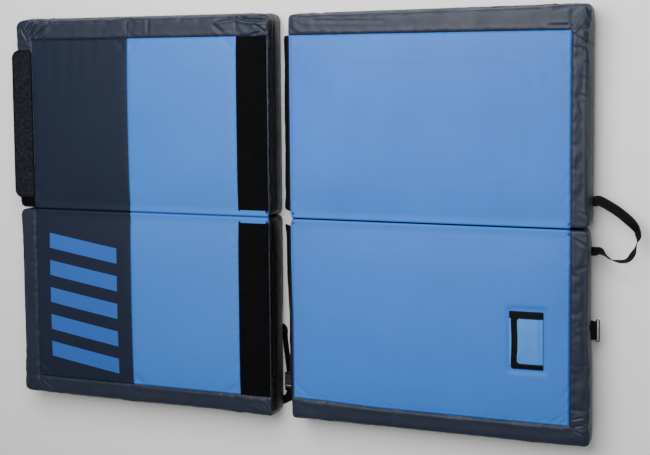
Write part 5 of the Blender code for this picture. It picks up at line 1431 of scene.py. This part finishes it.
# Harness on the back of the lower left panel
def hard_copy(node, name, surface, body, width):
    """A copy of a hard CAD piece with rounded edges."""
    mesh = bmesh.new()
    mesh.from_mesh(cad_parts[node].data)
    bmesh.ops.remove_doubles(mesh, verts=mesh.verts, dist=1e-6)
    bmesh.ops.dissolve_limit(mesh, angle_limit=math.radians(1), verts=mesh.verts, edges=mesh.edges)
    piece = new_piece(name, mesh, surface, body)
    round_edges(piece, width, 2)
    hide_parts(node)


def sewn_patch(node, name):
    """A sewn patch of coated cloth with rounded corners and a boxed row of stitches."""
    low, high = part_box(node)

    def under(x, y):
        inset = min(x - low.x, high.x - x, y - low.y, high.y - y)
        return low.z + 0.0007 * math.exp(-max(inset, 0) / 0.002) + 0.0002 * ripple(x * 70, y * 70, 5.0)

    mesh = slab(even_lines([low.x, high.x], 0.006), even_lines([low.y, high.y], 0.006), under, lambda x, y: high.z,
                lambda x, y, z: Vector((x, y, z)), box=(low.x, high.x, low.y, high.y), radius=0.008)
    piece = new_piece(name, mesh, "coated", "left_lower")
    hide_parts(node)
    inset, z = 0.0045, low.z - 0.0001
    corners = [Vector((low.x + inset, low.y + inset, z)), Vector((high.x - inset, low.y + inset, z)),
               Vector((high.x - inset, high.y - inset, z)), Vector((low.x + inset, high.y - inset, z))]
    for a, b in zip(corners, corners[1:] + corners[:1]):
        stitch_line("left_lower", [a, b], DOWN)


def shoulder_strap(label):
    """A padded strap with bound edges and quilting lines, in the CAD strap's place."""
    node = "shoulder_strap_" + label
    low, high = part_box(node)
    side = 1 if label == "upper" else -1
    steps = 70
    points, widths = [], []
    for k in range(steps + 1):
        share = k / steps
        spread = 0.055 + 0.065 * smoothstep(0, 1, share) + 0.03 * math.sin(math.pi * share) ** 2
        x = low.x + 0.002 + (high.x - low.x - 0.004) * share
        points.append(Vector((x, HARNESS_Y + side * spread, (low.z + high.z) / 2)))
        end = min(share, 1 - share) * 14
        widths.append(SHOULDER_WIDTH * (0.62 + 0.38 * math.sin(math.pi / 2 * min(end / 1.8, 1.0))))
    section = [(-1.0, 0.0), (-0.985, -0.55), (-0.95, -0.62), (-0.9, -0.55), (-0.84, -0.86), (-0.6, -0.99),
               (-0.36, -0.93), (-0.33, -0.78), (-0.3, -0.93), (0.0, -1.0)]
    above = [(0.985, 0.6), (0.9, 0.9), (0.5, 1.0)]
    section += [(-u, v) for u, v in reversed(section[:-1])] + above + [(0.0, 1.0)]
    section += [(-u, v) for u, v in reversed(above)]
    rows = []
    flats = level_flats(points)
    half = (high.z - low.z) / 2
    for k, (point, flat, width) in enumerate(zip(points, flats, widths)):
        puff = 1 - 0.1 * abs(math.sin(k * math.pi / 7))
        rim = math.sin(math.pi / 2 * min(min(k, steps - k) / 3 + 0.25, 1.0))
        rows.append([point + flat * width / 2 * u + UP * half * v * (puff if v < -0.7 else 1.0) * rim
                     for u, v in section])
    piece = new_piece(node + "_pad", swept(rows), "strap_cloth", "left_lower")
    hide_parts(node)
    for u in (-0.925, 0.925):
        line = [p + f * w / 2 * u - UP * (half * 0.6 + 0.0001) for p, f, w in
                zip(points[2:-2], flats[2:-2], widths[2:-2])]
        stitch_line("left_lower", line, DOWN)


def threaded(corner, outward, level, top, radius=WRAP_RADIUS):
    """Webbing that comes up through a slot: down in the slot, round the bar's edge, and outward."""
    back = corner - outward * radius
    points = [Vector((back.x, back.y, top)), Vector((back.x, back.y, level + radius))]
    for step in range(1, 6):
        turn = step * math.pi / 10
        plan = corner - outward * radius * math.cos(turn)
        points.append(Vector((plan.x, plan.y, level + radius * (1 - math.sin(turn)))))
    return points


def adjusting_strap(label, side):
    """The ladder lock and the webbing from it to the sewn anchor."""
    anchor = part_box("harness_anchor_band")
    low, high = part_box("ladder_lock_" + label)
    y = (low.y + high.y) / 2
    under, level = low.z - CLEARANCE - STRAP_THICKNESS / 2, high.z - STRAP_THICKNESS / 2
    points = threaded(Vector((high.x - LOCK_BAR, y, 0)), Vector((1, 0, 0)), under, high.z)
    clear, risen = Vector((high.x + LOCK_BAR, y, under)), Vector((high.x + 0.0135, y, level))
    end = Vector((anchor[0].x + 0.01, HARNESS_Y + side * ANCHOR_SPREAD, level))
    bend = len(points)
    for k in range(9):
        point = clear.lerp(risen, k / 8)
        point.z = clear.z + (risen.z - clear.z) * smoothstep(0, 1, k / 8)
        points.append(point)
    points += [risen.lerp(end, k / 8) for k in range(1, 9)]
    flats = [Vector((0, 1, 0))] * (bend + 9) + level_flats(points)[bend + 9:]
    piece = ribbon("adjusting_strap_" + label, points, flats, STRAP_WIDTH, STRAP_THICKNESS, "left_lower")
    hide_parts("adjusting_webbing_" + label)
    hard_copy("ladder_lock_" + label, "ladder_lock_" + label + "_moulding", "plastic", "left_lower", 0.0006)


# The belt's route under the pad: x from the middle of the gap, and distance from the lower panels' ends
BELT_RETURN, BELT_END = (-0.056, 0.022), (-0.125, 0.046)
TAIL_START, TAIL_END = (-0.06, 0.004), (0.001, 0.036)


def hip_belt():
    """The belt's webbings, its buckle and its free tail, on the routes of the CAD model."""
    hard_copy("belt_buckle_socket", "belt_buckle_socket_moulding", "grey_plastic", "left_lower", 0.0004)
    hard_copy("belt_buckle_plug", "belt_buckle_plug_moulding", "plastic", "buckle_plug", 0.0004)
    ceiling, level, start = HOLLOW_DEPTH - CLEARANCE - STRAP_THICKNESS / 2, BELT_LEVEL, BUCKLE_START

    def spot(x, y, z):
        return Vector((MIDDLE_X + x, y, z))

    def from_end(place, z):
        return spot(place[0], place[1] - PANEL_LENGTH, z)

    def strap(node, points, body):
        piece = ribbon(node + "_strap", points, level_flats(points), BELT_WIDTH, STRAP_THICKNESS, body)
        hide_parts(node)

    points = threaded(spot(BELT_X, -start - SLOT_MARGIN, 0), Vector((0, 1, 0)), level, 0.0105)
    out, sewn = spot(-UNIT_GAP / 2, -start + 0.159, level), spot(-0.152, -start + 0.172, ceiling)
    run = [spot(BELT_X, -start + SLOT_MARGIN, level), spot(-0.0245, -start + 0.055, level),
           spot(-0.032, -start + 0.12, level), out, out.lerp(sewn, 0.35) - UP * 0.0005, out.lerp(sewn, 0.8), sewn]
    strap("belt_webbing_upper", points + curved(run, 36), "left_lower")
    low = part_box("belt_buckle_plug")[0].z
    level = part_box("belt_webbing_lower")[0].z + STRAP_THICKNESS / 2
    bar = -(start + BUCKLE_LENGTH + 2 * SLOT_MARGIN + 2 * SLOT_WIDTH)
    points = threaded(spot(BELT_X, bar, 0), Vector((0, -1, 0)), level, max(low, 0.0) + 0.0074)
    leaving = spot(BELT_X, -(start + BUCKLE_LENGTH + PLUG_BASE), level)
    back, end = from_end(BELT_RETURN, level), from_end(BELT_END, ceiling)
    turn = spot(BELT_X, back.y, level)
    run = [leaving.lerp(turn, 0.3), (leaving + turn * 2 + back) / 4, back, (back + end) / 2, end]
    strap("belt_webbing_lower", points + curved(run, 30), "buckle_plug")
    start, stop = from_end(TAIL_START, BELT_LEVEL), from_end(TAIL_END, BELT_LEVEL)
    points = [start.lerp(stop, k / 12) for k in range(13)]
    for k, point in enumerate(points):
        point.z += 0.0016 * math.sin(math.pi * k / 12) ** 2
    strap("belt_tail", points, "buckle_plug")


# Seams of the covers
def cover_stitches(panel):
    """Stitches along the border's inner edge and along the left unit's coloured seams."""
    inset = 0.005
    x0, x1, y0, y1 = MOUTH
    runs = [[(x0 - inset, y) for y in even_lines([y0 + 0.012, y1 + inset], 0.012)],
            [(x, y1 + inset) for x in even_lines([x0 - inset, x1 + 0.003], 0.012)]]
    if panel.left:
        for seam in (NAVY_END, BAND_START):
            runs.append([(seam + 0.003, y) for y in even_lines([y0 + 0.004, y1 - 0.004], 0.012)])
    for run in runs:
        points = [panel.place(x, y, panel.top(x, y) + 0.0002) for x, y in run]
        stitch_line(panel.name, points, [panel.top_normal(x, y) for x, y in run])


def build_panels():
    """All four panels, the strips across the folds, and what is sewn to them."""
    panels, covers = {}, {}
    for unit in (LEFT, RIGHT):
        for end in (UPPER, LOWER):
            panel = Panel(unit, end)
            covers[panel.name] = split_skin(panel)
            cover_stitches(panel)
            zip_tape(panel)
            zip_slider(panel)
            panels[panel.name] = panel
    for side in ("left", "right"):
        upper, lower = side + "_upper", side + "_lower"
        fold_strip(panels[upper], panels[lower])
    carpet_flap(panels["left_upper"])
    join_flap(panels["right_upper"])
    join_flap(panels["right_lower"])
    patch_flap(panels["right_lower"])


# Camera, floor and light
def camera_and_stage():
    """The photograph's view, a pale floor and soft studio light."""
    lens = bpy.data.cameras.new("camera")
    camera = in_scene("camera", lens)
    bpy.context.scene.camera = camera
    lens.sensor_width = 36.0
    lens.lens = 63.223
    lens.shift_x, lens.shift_y = 0.0, -0.1192
    camera.location = (1.41484, 0.50755, 3.70004)
    camera.rotation_euler = (-0.074239, 0.349478, -0.008948)
    lens.clip_start, lens.clip_end = 0.1, 100.0
    reach = 30.0
    data = bpy.data.meshes.new("floor")
    data.from_pydata([(-reach, -reach, 0), (reach, -reach, 0), (reach, reach, 0), (-reach, reach, 0)], [],
                     [(0, 1, 2, 3)])
    floor = in_scene("floor", data)
    paper = Surface("paper_floor", 0.9, specular=0.1)
    paper.put("Base Color", (0.95, 0.95, 0.95, 1))
    data.materials.append(paper.made)
    world = bpy.context.scene.world or bpy.data.worlds.new("studio")
    bpy.context.scene.world = world
    world.use_nodes = True
    world.node_tree.nodes["Background"].inputs["Color"].default_value = (1, 1, 1, 1)
    world.node_tree.nodes["Background"].inputs["Strength"].default_value = 0.35
    light = bpy.data.lights.new("key", "AREA")
    light.shape, light.size, light.energy = "SQUARE", 2.6, 130
    lamp = in_scene("key", light)
    lamp.location = (0.05, 1.45, 2.5)
    lamp.rotation_euler = (Vector((0.2, 0.3, 0)) - lamp.location).to_track_quat("-Z", "Y").to_euler()


camera_and_stage()
build_panels()
webbing_loop()
wire_ring()
sewn_patch("harness_yoke", "harness_yoke_patch")
sewn_patch("harness_anchor_band", "harness_anchor_patch")
shoulder_strap("upper")
shoulder_strap("lower")
adjusting_strap("upper", 1)
adjusting_strap("lower", -1)
hip_belt()
make_stitches()
